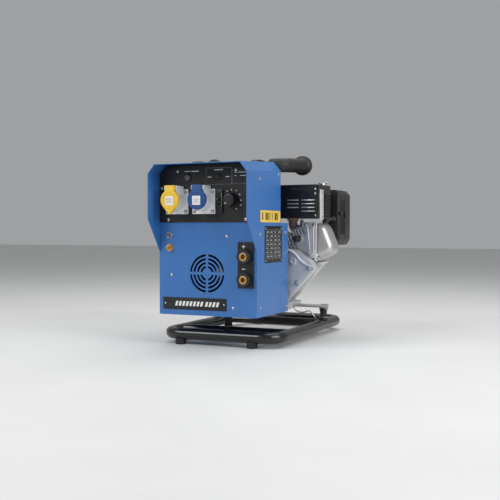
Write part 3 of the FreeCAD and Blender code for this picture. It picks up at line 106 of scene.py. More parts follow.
def solid_boxes(node):
    """(low, high, middle) of each separate solid of a node, in a fixed order."""
    data = nodes[node].data
    owner = {}
    keys = [tuple(round(c, 5) for c in vertex.co) for vertex in data.vertices]

    def root(key):
        while owner.setdefault(key, key) != key:
            owner[key] = owner[owner[key]]
            key = owner[key]
        return key

    for edge in data.edges:
        owner[root(keys[edge.vertices[0]])] = root(keys[edge.vertices[1]])
    groups = {}
    for key in keys:
        groups.setdefault(root(key), []).append(key)
    boxes = []
    for points in groups.values():
        columns = list(zip(*points))
        low, high = Vector([min(c) for c in columns]), Vector([max(c) for c in columns])
        boxes.append((low, high, (low + high) / 2))
    return sorted(boxes, key=lambda box: tuple(box[0]))


# ---- camera, stage and light


def add_camera():
    """The photograph's viewpoint, as fitted to its points: nearly level, a little round to the right."""
    right_of_shaft, ahead_of_panel, height = 1.0214, 1.9707, 0.3205
    tilt, turn = math.radians(88.6), math.radians(24.4)
    data = bpy.data.cameras.new("camera")
    data.sensor_width = 36
    data.lens = 59.2
    camera = bpy.data.objects.new("camera", data)
    camera.location = (shaft_x + right_of_shaft, panel_y - ahead_of_panel, height)
    camera.rotation_euler = (tilt, 0, turn)
    bpy.context.scene.collection.objects.link(camera)
    bpy.context.scene.camera = camera


def add_lights():
    """Three square soft boxes that face the welder, and a pale surround."""
    target = (0, 0, 0.25)
    for name, place, size, watts in (
        ("key_light", (-1.6, -2.4, 2.2), 1.6, 50),
        ("side_light", (2.6, -0.9, 1.5), 1.8, 46),
        ("top_light", (0.1, 0.4, 2.6), 2.2, 32),
    ):
        data = bpy.data.lights.new(name, "AREA")
        data.size = size
        data.energy = watts
        light = bpy.data.objects.new(name, data)
        light.location = place
        look = Vector(target) - Vector(place)
        light.rotation_euler = look.to_track_quat("-Z", "Y").to_euler()
        bpy.context.scene.collection.objects.link(light)
    world = bpy.data.worlds.new("surround")
    world.use_nodes = True
    background = world.node_tree.nodes["Background"]
    background.inputs["Color"].default_value = (0.86, 0.88, 0.9, 1)
    background.inputs["Strength"].default_value = 0.4
    bpy.context.scene.world = world
    bpy.context.scene.view_settings.view_transform = "Standard"


def add_floor():
    reach = 12
    mesh = bpy.data.meshes.new("floor")
    corners = [(-reach, -reach, 0), (reach, -reach, 0), (reach, reach, 0), (-reach, reach, 0)]
    mesh.from_pydata(corners, [], [(0, 1, 2, 3)])
    floor = bpy.data.objects.new("floor", mesh)
    bpy.context.scene.collection.objects.link(floor)
    floor.data.materials.append(make_finish("pale_floor", (0.72, 0.72, 0.71), 0.7, (3, 0.03)))


# ---- materials


class Graph:
    """Adds and joins the nodes of one material."""

    def __init__(self, name):
        self.material = bpy.data.materials.new(name)
        self.material.use_nodes = True
        self.tree = self.material.node_tree
        self.shader = self.tree.nodes["Principled BSDF"]
        self.place = self.add("ShaderNodeTexCoord").outputs["Object"]

    def feed(self, value, socket):
        """Gives a socket another node's output, or a number or colour of its own."""
        if isinstance(value, bpy.types.NodeSocket):
            self.tree.links.new(value, socket)
        elif socket.type == "RGBA":
            socket.default_value = (*value, 1)
        else:
            socket.default_value = value

    def add(self, kind, **settings):
        """New node; a setting whose name starts with in_ goes to the input of that name."""
        made = self.tree.nodes.new(kind)
        for key, value in settings.items():
            if key.startswith("in_"):
                self.feed(value, made.inputs[key[3:].replace("_", " ")])
            else:
                setattr(made, key, value)
        return made

    def finish(self, **inputs):
        """Feeds the shader's inputs and gives the material."""
        for key, value in inputs.items():
            self.feed(value, self.shader.inputs[key.replace("_", " ")])
        return self.material

    def noise(self, scale, detail=3, stretch=(1, 1, 1)):
        """Noise in the object's own space, about 1/scale metres across."""
        mapping = self.add("ShaderNodeMapping", in_Vector=self.place, in_Scale=[scale * s for s in stretch])
        made = self.add("ShaderNodeTexNoise", in_Vector=mapping.outputs["Vector"], in_Scale=1.0,
                        in_Detail=detail, in_Roughness=0.55)
        return made.outputs["Fac"]

    def ranged(self, value, low, high, start=0.3, end=0.7):
        """Low where the value is start, high where it is end, and neither side of them further."""
        made = self.add("ShaderNodeMapRange", clamp=True, in_Value=value, in_From_Min=start, in_From_Max=end,
                        in_To_Min=low, in_To_Max=high)
        return made.outputs["Result"]

    def mixed(self, share, colour_a, colour_b):
        """Colour a where share is 0 and colour b where it is 1; either may be an output."""
        made = self.add("ShaderNodeMix", data_type="RGBA", in_Factor=share)
        colours = {socket.name: socket for socket in made.inputs if socket.type == "RGBA"}
        self.feed(colour_a, colours["A"])
        self.feed(colour_b, colours["B"])
        return [socket for socket in made.outputs if socket.type == "RGBA"][0]

    def maths(self, operation, *values):
        made = self.add("ShaderNodeMath", operation=operation)
        for socket, value in zip(made.inputs, values):
            self.feed(value, socket)
        return made.outputs[0]

    def rounded_normal(self, radius):
        """Normal of a surface whose edges look rounded by radius."""
        return self.add("ShaderNodeBevel", samples=4, in_Radius=radius).outputs["Normal"]

    def edge_mask(self, radius):
        """1 along sharp edges and 0 on open faces."""
        dot = self.add("ShaderNodeVectorMath", operation="DOT_PRODUCT")
        self.feed(self.rounded_normal(radius), dot.inputs[0])
        self.feed(self.add("ShaderNodeNewGeometry").outputs["Normal"], dot.inputs[1])
        return self.ranged(dot.outputs["Value"], 1, 0, 0.8, 0.985)

    def bump(self, height, distance, **normal):
        """Normal pushed about by height; in_Normal is the one to start from."""
        return self.add("ShaderNodeBump", in_Height=height, in_Distance=distance, **normal).outputs["Normal"]


def shade(colour, factor):
    return tuple(min(1.0, part * factor) for part in colour)


def make_finish(
    name,
    colour,
    roughness,
    mottle,
    grain=None,
    metallic=0.0,
    pebble=None,
    edge=None,
    soften=0.0006,
    dust=None,
    coat=(0.0, 0.03),
):
    """A surface with uneven colour and gloss.

    mottle is (scale, share) of the colour's slow change, grain and pebble are (scale, depth) of two sizes
    of bump, edge is (radius, colour, share) of a colour along edges, wear on some finishes and a painted
    highlight on others, soften is the radius that edges look rounded by, dust is a colour that gathers on
    upward faces, and coat is (weight, roughness) of a varnish.
    """
    graph = Graph(name)
    scale, share = mottle
    clouds = graph.ranged(graph.noise(scale, detail=5), 0, 1)
    tone = graph.mixed(clouds, shade(colour, 1 - share), shade(colour, 1 + share))
    if edge:
        # Colour along sharp edges: wear for the steel and black finishes, a painted highlight where it is a
        # lighter tint of a paint or plastic.
        radius, wear_and_highlight_colour, amount = edge
        mask = graph.maths("MULTIPLY", graph.edge_mask(radius), graph.ranged(graph.noise(90), 0.25, 1))
        tone = graph.mixed(graph.maths("MULTIPLY", mask, amount), tone, wear_and_highlight_colour)
    if dust:
        outward_normal = graph.add("ShaderNodeNewGeometry").outputs["Normal"]
        upward = graph.add("ShaderNodeSeparateXYZ", in_Vector=outward_normal).outputs["Z"]
        lies = graph.maths("MULTIPLY", graph.ranged(upward, 0, 0.35, 0.5, 1), graph.noise(25))
        tone = graph.mixed(lies, tone, dust)
    gloss = graph.ranged(graph.noise(scale * 2.3, detail=4), roughness * 0.86, min(1, roughness * 1.14))
    normal = graph.rounded_normal(soften)
    for bumps in (pebble, grain):
        if bumps:
            normal = graph.bump(graph.noise(bumps[0], detail=2), bumps[1], in_Normal=normal)
    return graph.finish(Base_Color=tone, Roughness=gloss, Metallic=metallic, Coat_Weight=coat[0],
                        Coat_Roughness=coat[1], Normal=normal)


def make_turned_metal(name, colour, roughness):
    """Metal cut on a lathe or drawn: fine streaks across one direction, and a painted highlight that
    brightens its edges.
    """
    graph = Graph(name)
    streaks = graph.noise(900, detail=2, stretch=(0.12, 1, 0.12))
    clouds = graph.ranged(graph.noise(45), 0, 1)
    tone = graph.mixed(clouds, shade(colour, 0.82), shade(colour, 1.08))
    # Painted highlight: the colour is up to 1.3 times brighter along edges.
    tone = graph.mixed(graph.maths("MULTIPLY", graph.edge_mask(0.0007), 0.6), tone, shade(colour, 1.3))
    gloss = graph.ranged(streaks, roughness * 0.8, roughness * 1.25)
    normal = graph.bump(streaks, 0.00004, in_Normal=graph.rounded_normal(0.0004))
    return graph.finish(Base_Color=tone, Roughness=gloss, Metallic=1.0, Normal=normal)


def make_heat_tinted():
    """Exhaust steel browned by heat, from straw to purple in clouds, with scale."""
    graph = Graph("heat_tinted_steel")
    ramp = graph.add("ShaderNodeValToRGB", in_Fac=graph.noise(26, detail=4))
    elements = ramp.color_ramp.elements
    elements[0].color = (0.1, 0.07, 0.06, 1)
    stops = ((0.35, (0.27, 0.17, 0.1)), (0.55, (0.4, 0.29, 0.17)), (0.75, (0.24, 0.17, 0.2)))
    for place, colour in stops:
        elements.new(place).color = (*colour, 1)
    scale = graph.noise(700, detail=2)
    tone = graph.mixed(graph.ranged(scale, 0, 0.35), ramp.outputs["Color"], (0.1, 0.07, 0.05))
    normal = graph.bump(scale, 0.00012, in_Normal=graph.rounded_normal(0.0006))
    gloss = graph.ranged(scale, 0.38, 0.62)
    return graph.finish(Base_Color=tone, Roughness=gloss, Metallic=0.75, Normal=normal)


def make_laminations():
    """Stacked steel sheets, dipped in varnish: a dark line between each sheet and the next."""
    sheet = 0.0011
    graph = Graph("lamination_steel")
    along = graph.add("ShaderNodeSeparateXYZ", in_Vector=graph.place)
    wave = graph.maths("SINE", graph.maths("MULTIPLY", along.outputs["Y"], 2 * math.pi / sheet))
    sheets = graph.ranged(wave, 0, 1, -0.6, 0.4)
    stain = graph.ranged(graph.noise(55, detail=4), 0, 1)
    steel = graph.mixed(stain, (0.13, 0.12, 0.12), (0.22, 0.18, 0.13))
    tone = graph.mixed(sheets, (0.04, 0.035, 0.03), steel)
    gloss = graph.ranged(stain, 0.4, 0.6, 0, 1)
    return graph.finish(Base_Color=tone, Roughness=gloss, Metallic=0.7, Normal=graph.bump(sheets, 0.0002))


def make_materials():
    """One material for each of the record's slots, and four more for print, labels and dark gaps."""
    steel_wear = (0.0011, (0.4, 0.4, 0.42), 0.28)
    black_wear = (0.0009, (0.09, 0.09, 0.095), 0.5)
    # colour, roughness, mottle, grain, and any other settings of make_finish
    surfaces = {
        # Lighter blue along the edges is a painted highlight.
        "blue_paint": (
            (0.032, 0.15, 0.43), 0.36, (7, 0.05), (950, 0.00006),
            dict(edge=(0.0012, (0.16, 0.33, 0.66), 0.55), soften=0.0012, coat=(0.25, 0.28))),
        "black_tube_paint": (
            (0.006, 0.006, 0.007), 0.24, (14, 0.2), (420, 0.00002),
            dict(dust=(0.014, 0.013, 0.012), coat=(0.3, 0.2))),
        "black_plate": ((0.006, 0.006, 0.0075), 0.4, (20, 0.2), (1300, 0.00005), dict(edge=black_wear)),
        "black_plastic": ((0.008, 0.008, 0.009), 0.44, (40, 0.15), (1700, 0.00006), dict(edge=black_wear)),
        "grey_plastic": ((0.74, 0.75, 0.76), 0.34, (35, 0.04), (1500, 0.00003), dict(soften=0.0012)),
        # Lighter yellow along the edges is a painted highlight.
        "yellow_plastic": (
            (0.82, 0.54, 0.045), 0.33, (50, 0.05), (1500, 0.00003),
            dict(edge=(0.001, (0.95, 0.75, 0.2), 0.4), soften=0.0012)),
        # Lighter blue along the edges is a painted highlight.
        "blue_plastic": (
            (0.014, 0.075, 0.25), 0.33, (50, 0.06), (1500, 0.00003),
            dict(edge=(0.001, (0.09, 0.22, 0.5), 0.4), soften=0.0012)),
        "button_grey": ((0.11, 0.11, 0.115), 0.48, (60, 0.1), (1600, 0.00005), dict(soften=0.001)),
        "zinc_steel": (
            (0.6, 0.6, 0.58), 0.32, (70, 0.16), (900, 0.00003),
            dict(metallic=1.0, edge=steel_wear)),
        "black_rubber": (
            (0.011, 0.011, 0.012), 0.55, (35, 0.2), (1100, 0.00009),
            dict(dust=(0.03, 0.029, 0.027), soften=0.0015)),
        "cast_aluminium": (
            (0.68, 0.69, 0.71), 0.44, (24, 0.14), (1100, 0.00012),
            dict(metallic=0.72, pebble=(420, 0.00022), soften=0.0018)),
        "stamped_cover": (
            (0.54, 0.53, 0.52), 0.36, (18, 0.08), (1200, 0.00005),
            dict(metallic=0.8, edge=steel_wear, soften=0.0015)),
        "muffler_steel": (
            (0.93, 0.93, 0.92), 0.4, (40, 0.2), (500, 0.00006),
            dict(metallic=0.7, soften=0.001)),
        "ceramic_white": ((0.8, 0.79, 0.75), 0.14, (90, 0.03), None, dict(coat=(0.6, 0.03))),
        "white_print": ((0.78, 0.78, 0.76), 0.5, (400, 0.06), (2500, 0.00002), dict()),
        "label_yellow": ((0.8, 0.55, 0.08), 0.38, (60, 0.05), (2000, 0.00002), dict()),
        "label_grey": ((0.3, 0.3, 0.3), 0.5, (400, 0.06), (2500, 0.00002), dict()),
        "dark_core": ((0.01, 0.01, 0.011), 0.7, (80, 0.3), (900, 0.0001), dict()),
    }
    made = {name: make_finish(name, *looks, **others) for name, (*looks, others) in surfaces.items()}
    made["brass"] = make_turned_metal("brass", (0.72, 0.48, 0.17), 0.27)
    made["machined_steel"] = make_turned_metal("machined_steel", (0.5, 0.5, 0.51), 0.3)
    made["heat_tinted_steel"] = make_heat_tinted()
    made["lamination_steel"] = make_laminations()
    return made


finishes = make_materials()


def dress_nodes():
    """Each node of the frame takes the material of its slot."""
    for name, item in nodes.items():
        item.data.materials.clear()
        item.data.materials.append(finishes[node_slot[name]])


# ---- shapes, each a bmesh in its own axes


def ring_of(shape, points):
    return [shape.verts.new(point) for point in points]


def round_the_clock(steps):
    """Angles of steps points round a circle."""
    return [2 * math.pi * k / steps for k in range(steps)]


def skinned(shape, rings, closed_ends=False):
    """Faces from each ring of points to the next; a ring may be a single point."""
    for low, high in zip(rings, rings[1:]):
        count = max(len(low), len(high))
        for k in range(count):
            after = (k + 1) % count
            corners = [low[k % len(low)], low[after % len(low)], high[after % len(high)], high[k % len(high)]]
            loop = list(dict.fromkeys(corners))
            if len(loop) > 2:
                shape.faces.new(loop)
    if closed_ends:
        shape.faces.new(list(reversed(rings[0])))
        shape.faces.new(rings[-1])
    return shape


def turned(profile, steps=32):
    """Solid turned about Z from (radius, height) points; a radius of 0 closes an end."""
    shape = bmesh.new()
    rings = []
    for radius, height in profile:
        angles = round_the_clock(steps) if radius else [0.0]
        rings.append(ring_of(shape, [(radius * math.cos(a), radius * math.sin(a), height) for a in angles]))
    return skinned(shape, rings)


def rounded_slab(outline, depth, bevel=0.0, segments=2):
    """Prism of the (x, y) outline from Z 0 up to depth, with its edges rounded."""
    shape = bmesh.new()
    face = shape.faces.new(ring_of(shape, [(x, y, 0) for x, y in outline]))
    lifted = bmesh.ops.extrude_face_region(shape, geom=[face])
    moved = [item for item in lifted["geom"] if isinstance(item, bmesh.types.BMVert)]
    bmesh.ops.translate(shape, verts=moved, vec=(0, 0, depth))
    if bevel:
        bmesh.ops.recalc_face_normals(shape, faces=shape.faces)
        sharp = [e for e in shape.edges if e.calc_face_angle(0) > SOFT_ANGLE]
        bmesh.ops.bevel(shape, geom=sharp, offset=bevel, segments=segments, profile=0.5, affect="EDGES",
                        clamp_overlap=True)
    return shape


def slab(width, height, depth, bevel=0.0):
    """Block of width by height round local Z, and depth thick."""
    x, y = width / 2, height / 2
    return rounded_slab([(-x, -y), (x, -y), (x, y), (-x, y)], depth, bevel)


def rounded_ring(half_x, half_y, radius, steps=5):
    """Points round a rectangle with round corners, anticlockwise."""
    points = []
    for side_x, side_y, quarter in ((1, 1, 0), (-1, 1, 1), (-1, -1, 2), (1, -1, 3)):
        for step in range(steps + 1):
            angle = (quarter + step / steps) * math.pi / 2
            points.append((side_x * (half_x - radius) + radius * math.cos(angle),
                           side_y * (half_y - radius) + radius * math.sin(angle)))
    return points


def lofted(sections, steps=5):
    """Skin over round-cornered rectangles; each section is (height, half x, half y, radius)."""
    shape = bmesh.new()
    rings = []
    for height, half_x, half_y, radius in sections:
        ring = rounded_ring(half_x, half_y, radius, steps)
        rings.append(ring_of(shape, [(x, y, height) for x, y in ring]))
    return skinned(shape, rings, closed_ends=True)


def smooth_line(points, per_span=8):
    """Points along a Catmull-Rom line through the given ones."""
    points = [Vector(p) for p in points]
    padded = [points[0] * 2 - points[1], *points, points[-1] * 2 - points[-2]]
    line = []
    for a, b, c, d in zip(padded, padded[1:], padded[2:], padded[3:]):
        for step in range(per_span):
            t = step / per_span
            line.append(((b * 2) + (c - a) * t + (a * 2 - b * 5 + c * 4 - d) * t**2
                         + (b * 3 - a - c * 3 + d) * t**3) / 2)
    return [*line, points[-1]]


def swept(line, radii, steps=16):
    """Round bar along a line of points; radii is one radius or one for each point."""
    shape = bmesh.new()
    if isinstance(radii, (int, float)):
        radii = [radii] * len(line)
    legs = [(b - a).normalized() for a, b in zip(line, line[1:])]
    tangents = [legs[0], *((a + b).normalized() for a, b in zip(legs, legs[1:])), legs[-1]]
    side = tangents[0].orthogonal().normalized()
    rings = []
    for point, tangent, radius in zip(line, tangents, radii):
        side = (side - tangent * side.dot(tangent)).normalized()
        other = tangent.cross(side)
        spokes = [side * math.cos(a) + other * math.sin(a) for a in round_the_clock(steps)]
        rings.append(ring_of(shape, [point + spoke * radius for spoke in spokes]))
    return skinned(shape, rings, closed_ends=True)


def hexagon(flat):
    """Corners of a hexagon that measures flat across its flats."""
    reach = flat / 2 / math.cos(math.pi / 6)
    return [(reach * math.cos(math.pi / 3 * k), reach * math.sin(math.pi / 3 * k)) for k in range(6)]


def loose_object(shape):
    """An object made of the shape, which is used up."""
    data = bpy.data.meshes.new("loose")
    shape.to_mesh(data)
    shape.free()
    made = bpy.data.objects.new("loose", data)
    bpy.context.scene.collection.objects.link(made)
    return made


def settled(made):
    """The object's mesh with its modifiers applied, as a bmesh; the object goes."""
    bpy.context.view_layer.update()
    ready = made.evaluated_get(bpy.context.evaluated_depsgraph_get())
    data = bpy.data.meshes.new_from_object(ready)
    shape = bmesh.new()
    shape.from_mesh(data)
    bpy.data.meshes.remove(data)
    bpy.data.objects.remove(made)
    return shape


def carved(shape, tool):
    """The shape with the tool cut out of it."""
    body, knife = loose_object(shape), loose_object(tool)
    cutter = body.modifiers.new("cut", "BOOLEAN")
    cutter.object = knife
    cutter.solver = "EXACT"
    result = settled(body)
    bpy.data.objects.remove(knife)
    return result


def softened(node, width, segments):
    """The node's own shape with its sharp edges rounded."""
    same_point, flat, sharp = 2e-5, math.radians(2), math.radians(38)
    shape = bmesh.new()
    shape.from_mesh(nodes[node].data)
    bmesh.ops.remove_doubles(shape, verts=shape.verts, dist=same_point)
    bmesh.ops.dissolve_limit(shape, angle_limit=flat, verts=shape.verts, edges=shape.edges)
    body = loose_object(shape)
    rounding = body.modifiers.new("round", "BEVEL")
    rounding.width = width
    rounding.segments = segments
    rounding.limit_method = "ANGLE"
    rounding.angle_limit = sharp
    return settled(body)


class Piece:
    """Gathers shapes into one mesh that rides on a body."""

    def __init__(self, name):
        self.name = name
        self.mesh = bmesh.new()

    def take(self, shape, *places):
        """Adds the shape at each of places, or where it is."""
        data = bpy.data.meshes.new("holder")
        shape.to_mesh(data)
        shape.free()
        for matrix in places or [Matrix()]:
            before = len(self.mesh.verts)
            self.mesh.from_mesh(data)
            self.mesh.verts.ensure_lookup_table()
            bmesh.ops.transform(self.mesh, matrix=matrix, verts=self.mesh.verts[before:])
        bpy.data.meshes.remove(data)
        return self

    def done(self, finish, body="frame", stands_for=()):
        """Puts the piece into the scene, in place of the nodes it stands for."""
        data = bpy.data.meshes.new(self.name)
        bmesh.ops.recalc_face_normals(self.mesh, faces=self.mesh.faces)
        self.mesh.to_mesh(data)
        self.mesh.free()
        data.polygons.foreach_set("use_smooth", [True] * len(data.polygons))
        data.set_sharp_from_angle(angle=SOFT_ANGLE)
        data.materials.append(finishes[finish])
        made = bpy.data.objects.new(self.name, data)
        bpy.context.scene.collection.objects.link(made)
        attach(made, body)
        if stands_for:
            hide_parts(*stands_for)


def add_piece(name, finish, shape, *places, body="frame", stands_for=()):
    """A piece that is one shape at each of places."""
    Piece(name).take(shape, *places).done(finish, body, stands_for)


def soften_node(node, width, segments=3):
    """A node's shape with rounded edges stands for the node."""
    add_piece(node + "_rounded", node_slot[node], softened(node, width, segments), body=node_body[node],
              stands_for=[node])


# ---- fasteners

OUTLET_Z = 397 * MM
PLATE_FACE = -3  # front of the control panel plate, in millimetres from the front panel's plane
FLANGE_FACE = -8  # front of the outlets' flanges


def pan_head(radius, height):
    """Domed screw head with a cross recess."""
    sunk = -0.0004
    head = turned([(0, sunk), (radius, sunk), (radius, height * 0.3), (radius * 0.9, height * 0.66),
                   (radius * 0.6, height * 0.93), (0, height)], 28)
    arm, reach = radius * 0.13, radius * 0.55
    quarter = [(reach, -arm), (reach, arm), (arm, arm)]
    turns = ((1, 0), (0, 1), (-1, 0), (0, -1))
    recess = rounded_slab([(x * c - y * s, x * s + y * c) for c, s in turns for x, y in quarter], height * 2)
    bmesh.ops.translate(recess, verts=recess.verts, vec=(0, 0, height * 0.35))
    return carved(head, recess)


def hex_bolt(flat, height, washer):
    """Hexagon head with a chamfered top on a round washer face."""
    seat = height * 0.2
    rim = [(0, 0), (washer, 0), (washer, height * 0.14), (washer * 0.96, seat), (0, seat)]
    bolt = Piece("bolt").take(turned(rim, 28))
    bolt.take(rounded_slab(hexagon(flat), height * 0.8, bevel=flat * 0.05), Matrix.Translation((0, 0, seat)))
    return bolt.mesh


def outward(low, high, centre):
    """Thin direction of a head's box, pointing away from the canopy's middle."""
    size = high - low
    if size.y < size.x:
        return FRONT if centre.y < panel_y + 0.08 else REAR
    return RIGHT if centre.x > shaft_x else -RIGHT


def add_panel_screws():
    places = []
    for index, (low, high, centre) in enumerate(solid_boxes("panel_screws")):
        normal = outward(low, high, centre)
        reach = min(high - low) / 2
        places.append(facing(centre - normal * reach, normal, index * 1.1))
    head = pan_head(0.0042, 0.0026)
    add_piece("panel_screw_heads", "zinc_steel", head, *places, stands_for=["panel_screws"])


def add_flange_screws():
    """Four small screws in the corners of each outlet's flange, each in a raised ring."""
    half_wide, half_tall = 27 * MM, 26.5 * MM
    face = panel_y + FLANGE_FACE * MM
    places = []
    for index, node in enumerate(("yellow_socket_housing", "blue_socket_housing")):
        _, _, centre = measured(node)
        for side_x, side_z in CORNERS:
            place = (centre.x + side_x * half_wide, face, OUTLET_Z + side_z * half_tall)
            places.append(facing(place, FRONT, 0.7 * side_x + 0.4 * side_z + index))
    add_piece("flange_screws", "zinc_steel", pan_head(0.0031, 0.0018), *places)
    ring = turned([(0.0032, 0), (0.0046, 0), (0.0044, 0.0005), (0.0034, 0.0005), (0.0032, 0)], 24)
    add_piece("flange_screw_wells", "black_plastic", ring, *places)


# ---- printed marks and labels

PRINT = 0.00018


def print_bars(name, bars, y, finish="white_print"):
    """Thin printed bars on a front-facing plane at y; each is (left, low, right, high) in millimetres."""
    piece = Piece(name)
    for left, low, right, high in bars:
        bar = slab((right - left) * MM, (high - low) * MM, PRINT)
        piece.take(bar, at((left + right) / 2, y, (low + high) / 2))
    piece.done(finish)


def box_lines(left, low, right, high, line):
    """The four bars of an outlined box."""
    return [(left, low, right, low + line), (left, high - line, right, high),
            (left, low + line, left + line, high - line), (right - line, low + line, right, high - line)]


def add_control_print():
    """Outlined boxes, short label bars, the scale round the current knob and a painted highlight on the
    breaker's bezel.
    """
    lines = box_lines(-1, 442, 75, 487, 0.6) + box_lines(76.5, 442, 122, 479, 0.6)
    print_bars("panel_boxes", lines, PLATE_FACE, "label_grey")
    bars = [(24, 480, 50, 482.4), (4, 461, 15, 463.2), (58, 461, 69, 463.2)]
    bars += [(84, 472, 92, 474), (95, 472, 117, 474), (84, 463, 89, 465), (100, 463, 116, 465)]
    bars += [(-66, 478, -50, 480.2), (-47, 478, -23, 480.2)]
    print_bars("panel_marks", bars, PLATE_FACE)
    # Light grey line along the right edge of the breaker's bezel: a painted highlight.
    print_bars("breaker_edge_highlight", [(47.2, 384, 48.4, 419)], FLANGE_FACE, "label_grey")
    scale = ((62, 424), (75, 427), (89, 425), (99, 414), (103, 399), (102, 386), (89, 376))
    dot = turned([(0, 0), (0.0017, 0), (0.0017, PRINT), (0, PRINT)], 16)
    add_piece("scale_dots", "white_print", dot, *(at(x, PLATE_FACE, z) for x, z in scale))


def add_panel_gap_shade_lip():
    """Upright lip that closes the gap between the control panel and the roof; the black sheet stands in for
    the shade seen in that gap.
    """
    rear_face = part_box("control_panel")[1].y
    outline = [(-131, 487), (131, 487), (122, 498.2), (-122, 498.2)]
    lip = rounded_slab(in_metres(outline), 0.0022, bevel=0.0004)
    # Black sheet in the gap over the panel: painted shade.
    add_piece("panel_gap_shade_lip", "black_plate", lip, facing((shaft_x, rear_face, 0), FRONT))


def add_socket_signs():
    """Plus over the upper weld socket and minus over the lower one."""
    across, half, thin = 110, 5, 0.9
    bars = [(across - half, 275.2, across + half, 277), (across - thin, 271.1, across + thin, 275.2),
            (across - thin, 277, across + thin, 281.1), (across - half, 216, across + half, 217.8)]
    print_bars("socket_signs", bars, PLATE_FACE)


def add_name_plate_print():
    """Row of slanted bars in place of a name, and a rivet at each end."""
    low, high, centre = measured("name_plate")
    half_wide = (high.x - low.x) / MM / 2
    pitch, bar, lean, half_tall, margin = 11, 7, 4, 6.5, 7
    piece = Piece("name_plate_print")
    for step in range(12):
        word_gap = 4 if step >= 8 else 0
        left = -60 + step * pitch + word_gap
        outline = [(left, -half_tall), (left + bar, -half_tall), (left + bar + lean, half_tall),
                   (left + lean, half_tall)]
        piece.take(rounded_slab(in_metres(outline), PRINT), on_front(centre, low.y))
    piece.done("white_print")
    ends = [facing((centre.x + side * (half_wide - margin) * MM, low.y, centre.z), FRONT) for side in (-1, 1)]
    add_piece("name_plate_rivets", "zinc_steel", pan_head(0.0026, 0.0014), *ends)


def side_bar(piece, y_low, z_low, y_high, z_high, x, thick):
    """Thin slab on the canopy's right side: x and thick in metres, the rest in millimetres."""
    place = Vector((x, panel_y + (y_low + y_high) / 2 * MM, (z_low + z_high) / 2 * MM))
    piece.take(slab((y_high - y_low) * MM, (z_high - z_low) * MM, thick), facing(place, RIGHT))


def add_side_labels():
    """Plain yellow strip and a black rating plate with ruled lines, both without words."""
    side = shaft_x + 147.5 * MM
    strip_thick, plate_thick, line = 0.0003, 0.0009, 0.9
    strip = Piece("side_strip")
    side_bar(strip, 22, 341, 160, 373, side, strip_thick)
    strip.done("label_yellow")
    marks = Piece("side_strip_bars")
    for y_low, y_high in ((34, 40), (56, 64), (68, 76), (84, 88), (100, 104), (120, 128), (132, 140)):
        side_bar(marks, y_low, 347, y_high, 367, side + strip_thick, PRINT)
    marks.done("black_plate")

    middle_y, middle_z = 112, 281
    place = Vector((side, panel_y + middle_y * MM, middle_z * MM))
    plate = slab(122 * MM, 100 * MM, plate_thick, 0.0004)
    add_piece("rating_plate", "black_plate", plate, facing(place, RIGHT))
    face = side + plate_thick
    rules = Piece("rating_plate_rules")
    for z in (243, 254, 265, 276, 287, 298, 309, 320):
        side_bar(rules, 58, z, 166, z + line, face, PRINT)
    columns = ((58, 243, 320), (84, 243, 298), (112, 254, 298), (139, 243, 298), (165, 243, 320))
    for y, z_low, z_high in columns:
        side_bar(rules, y, z_low, y + line, z_high, face, PRINT)
    for row in range(7):
        low, high = 247 + row * 11, 250.4 + row * 11
        for column, (y, length) in enumerate(((62, 17), (88, 18), (116, 18), (143, 17))):
            side_bar(rules, y, low, y + length - 3 * ((row + column) % 3), high, face, PRINT)
    rules.done("label_grey")
    rivets = []
    for side_y, side_z in CORNERS:
        y, z = panel_y + (middle_y + side_y * 55) * MM, (middle_z + side_z * 44) * MM
        rivets.append(facing(Vector((face, y, z)), RIGHT))
    add_piece("rating_plate_rivets", "zinc_steel", pan_head(0.0025, 0.0013), *rivets)


# ---- outlets and controls


def round_off_tip(shape, x, z, limit):
    """Draws the lower part of a lid in to a circle about (x, z)."""
    for vertex in shape.verts:
        across, rise = vertex.co.x - x, vertex.co.z - z
        reach = math.hypot(across, rise)
        if rise < 0 and reach > limit:
            vertex.co.x = x + across * limit / reach
            vertex.co.z = z + rise * limit / reach


def add_lids():
    """Rounded lids with a square label in a raised ring; the blue one also loses its solid's tip."""
    label_thick = 0.0003
    for colour in ("yellow", "blue"):
        node = colour + "_socket_lid"
        body = node_body[node]
        low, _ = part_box(node)
        _, _, centre = measured(colour + "_socket_housing")
        cover = softened(node, 0.0016, 4)
        if colour == "blue":
            round_off_tip(cover, centre.x, 401 * MM, 27.4 * MM)
        add_piece(node + "_rounded", node_slot[node], cover, body=body, stands_for=[node])
        place = Vector((centre.x, low.y, OUTLET_Z + 1.5 * MM))
        label = slab(0.024, 0.024, label_thick, 0.0001)
        add_piece(colour + "_lid_label", "white_print", label, facing(place, FRONT), body=body)
        lines = Piece(colour + "_lid_label_lines")
        for z, length in ((6, 16), (2.5, 18), (-1, 12), (-4.5, 17)):
            line_place = place + Vector((0, -label_thick, z * MM))
            lines.take(slab(length * MM, 0.0012, PRINT), facing(line_place, FRONT))
        lines.done("label_grey", body)
        ring = turned([(0.0208, 0), (0.0224, 0), (0.022, 0.0007), (0.0212, 0.0007), (0.0208, 0)], 48)
        add_piece(colour + "_lid_rib", colour + "_plastic", ring, facing(place, FRONT), body=body)


def fluted(profile, flutes, depth, steps=144):
    """Turned solid pressed in by flutes; a profile point is (radius, height, share of the flutes)."""
    shape = turned([(radius, height) for radius, height, _ in profile], steps)
    shares = {round(height, 6): share for _, height, share in profile}
    for vertex in shape.verts:
        share = shares.get(round(vertex.co.z, 6), 0)
        reach = math.hypot(vertex.co.x, vertex.co.y)
        if share and reach > depth * 3:
            angle = math.atan2(vertex.co.y, vertex.co.x)
            pressed = depth * share * (0.5 + 0.5 * math.cos(angle * flutes)) ** 2
            vertex.co.x *= 1 - pressed / reach
            vertex.co.y *= 1 - pressed / reach
    return shape


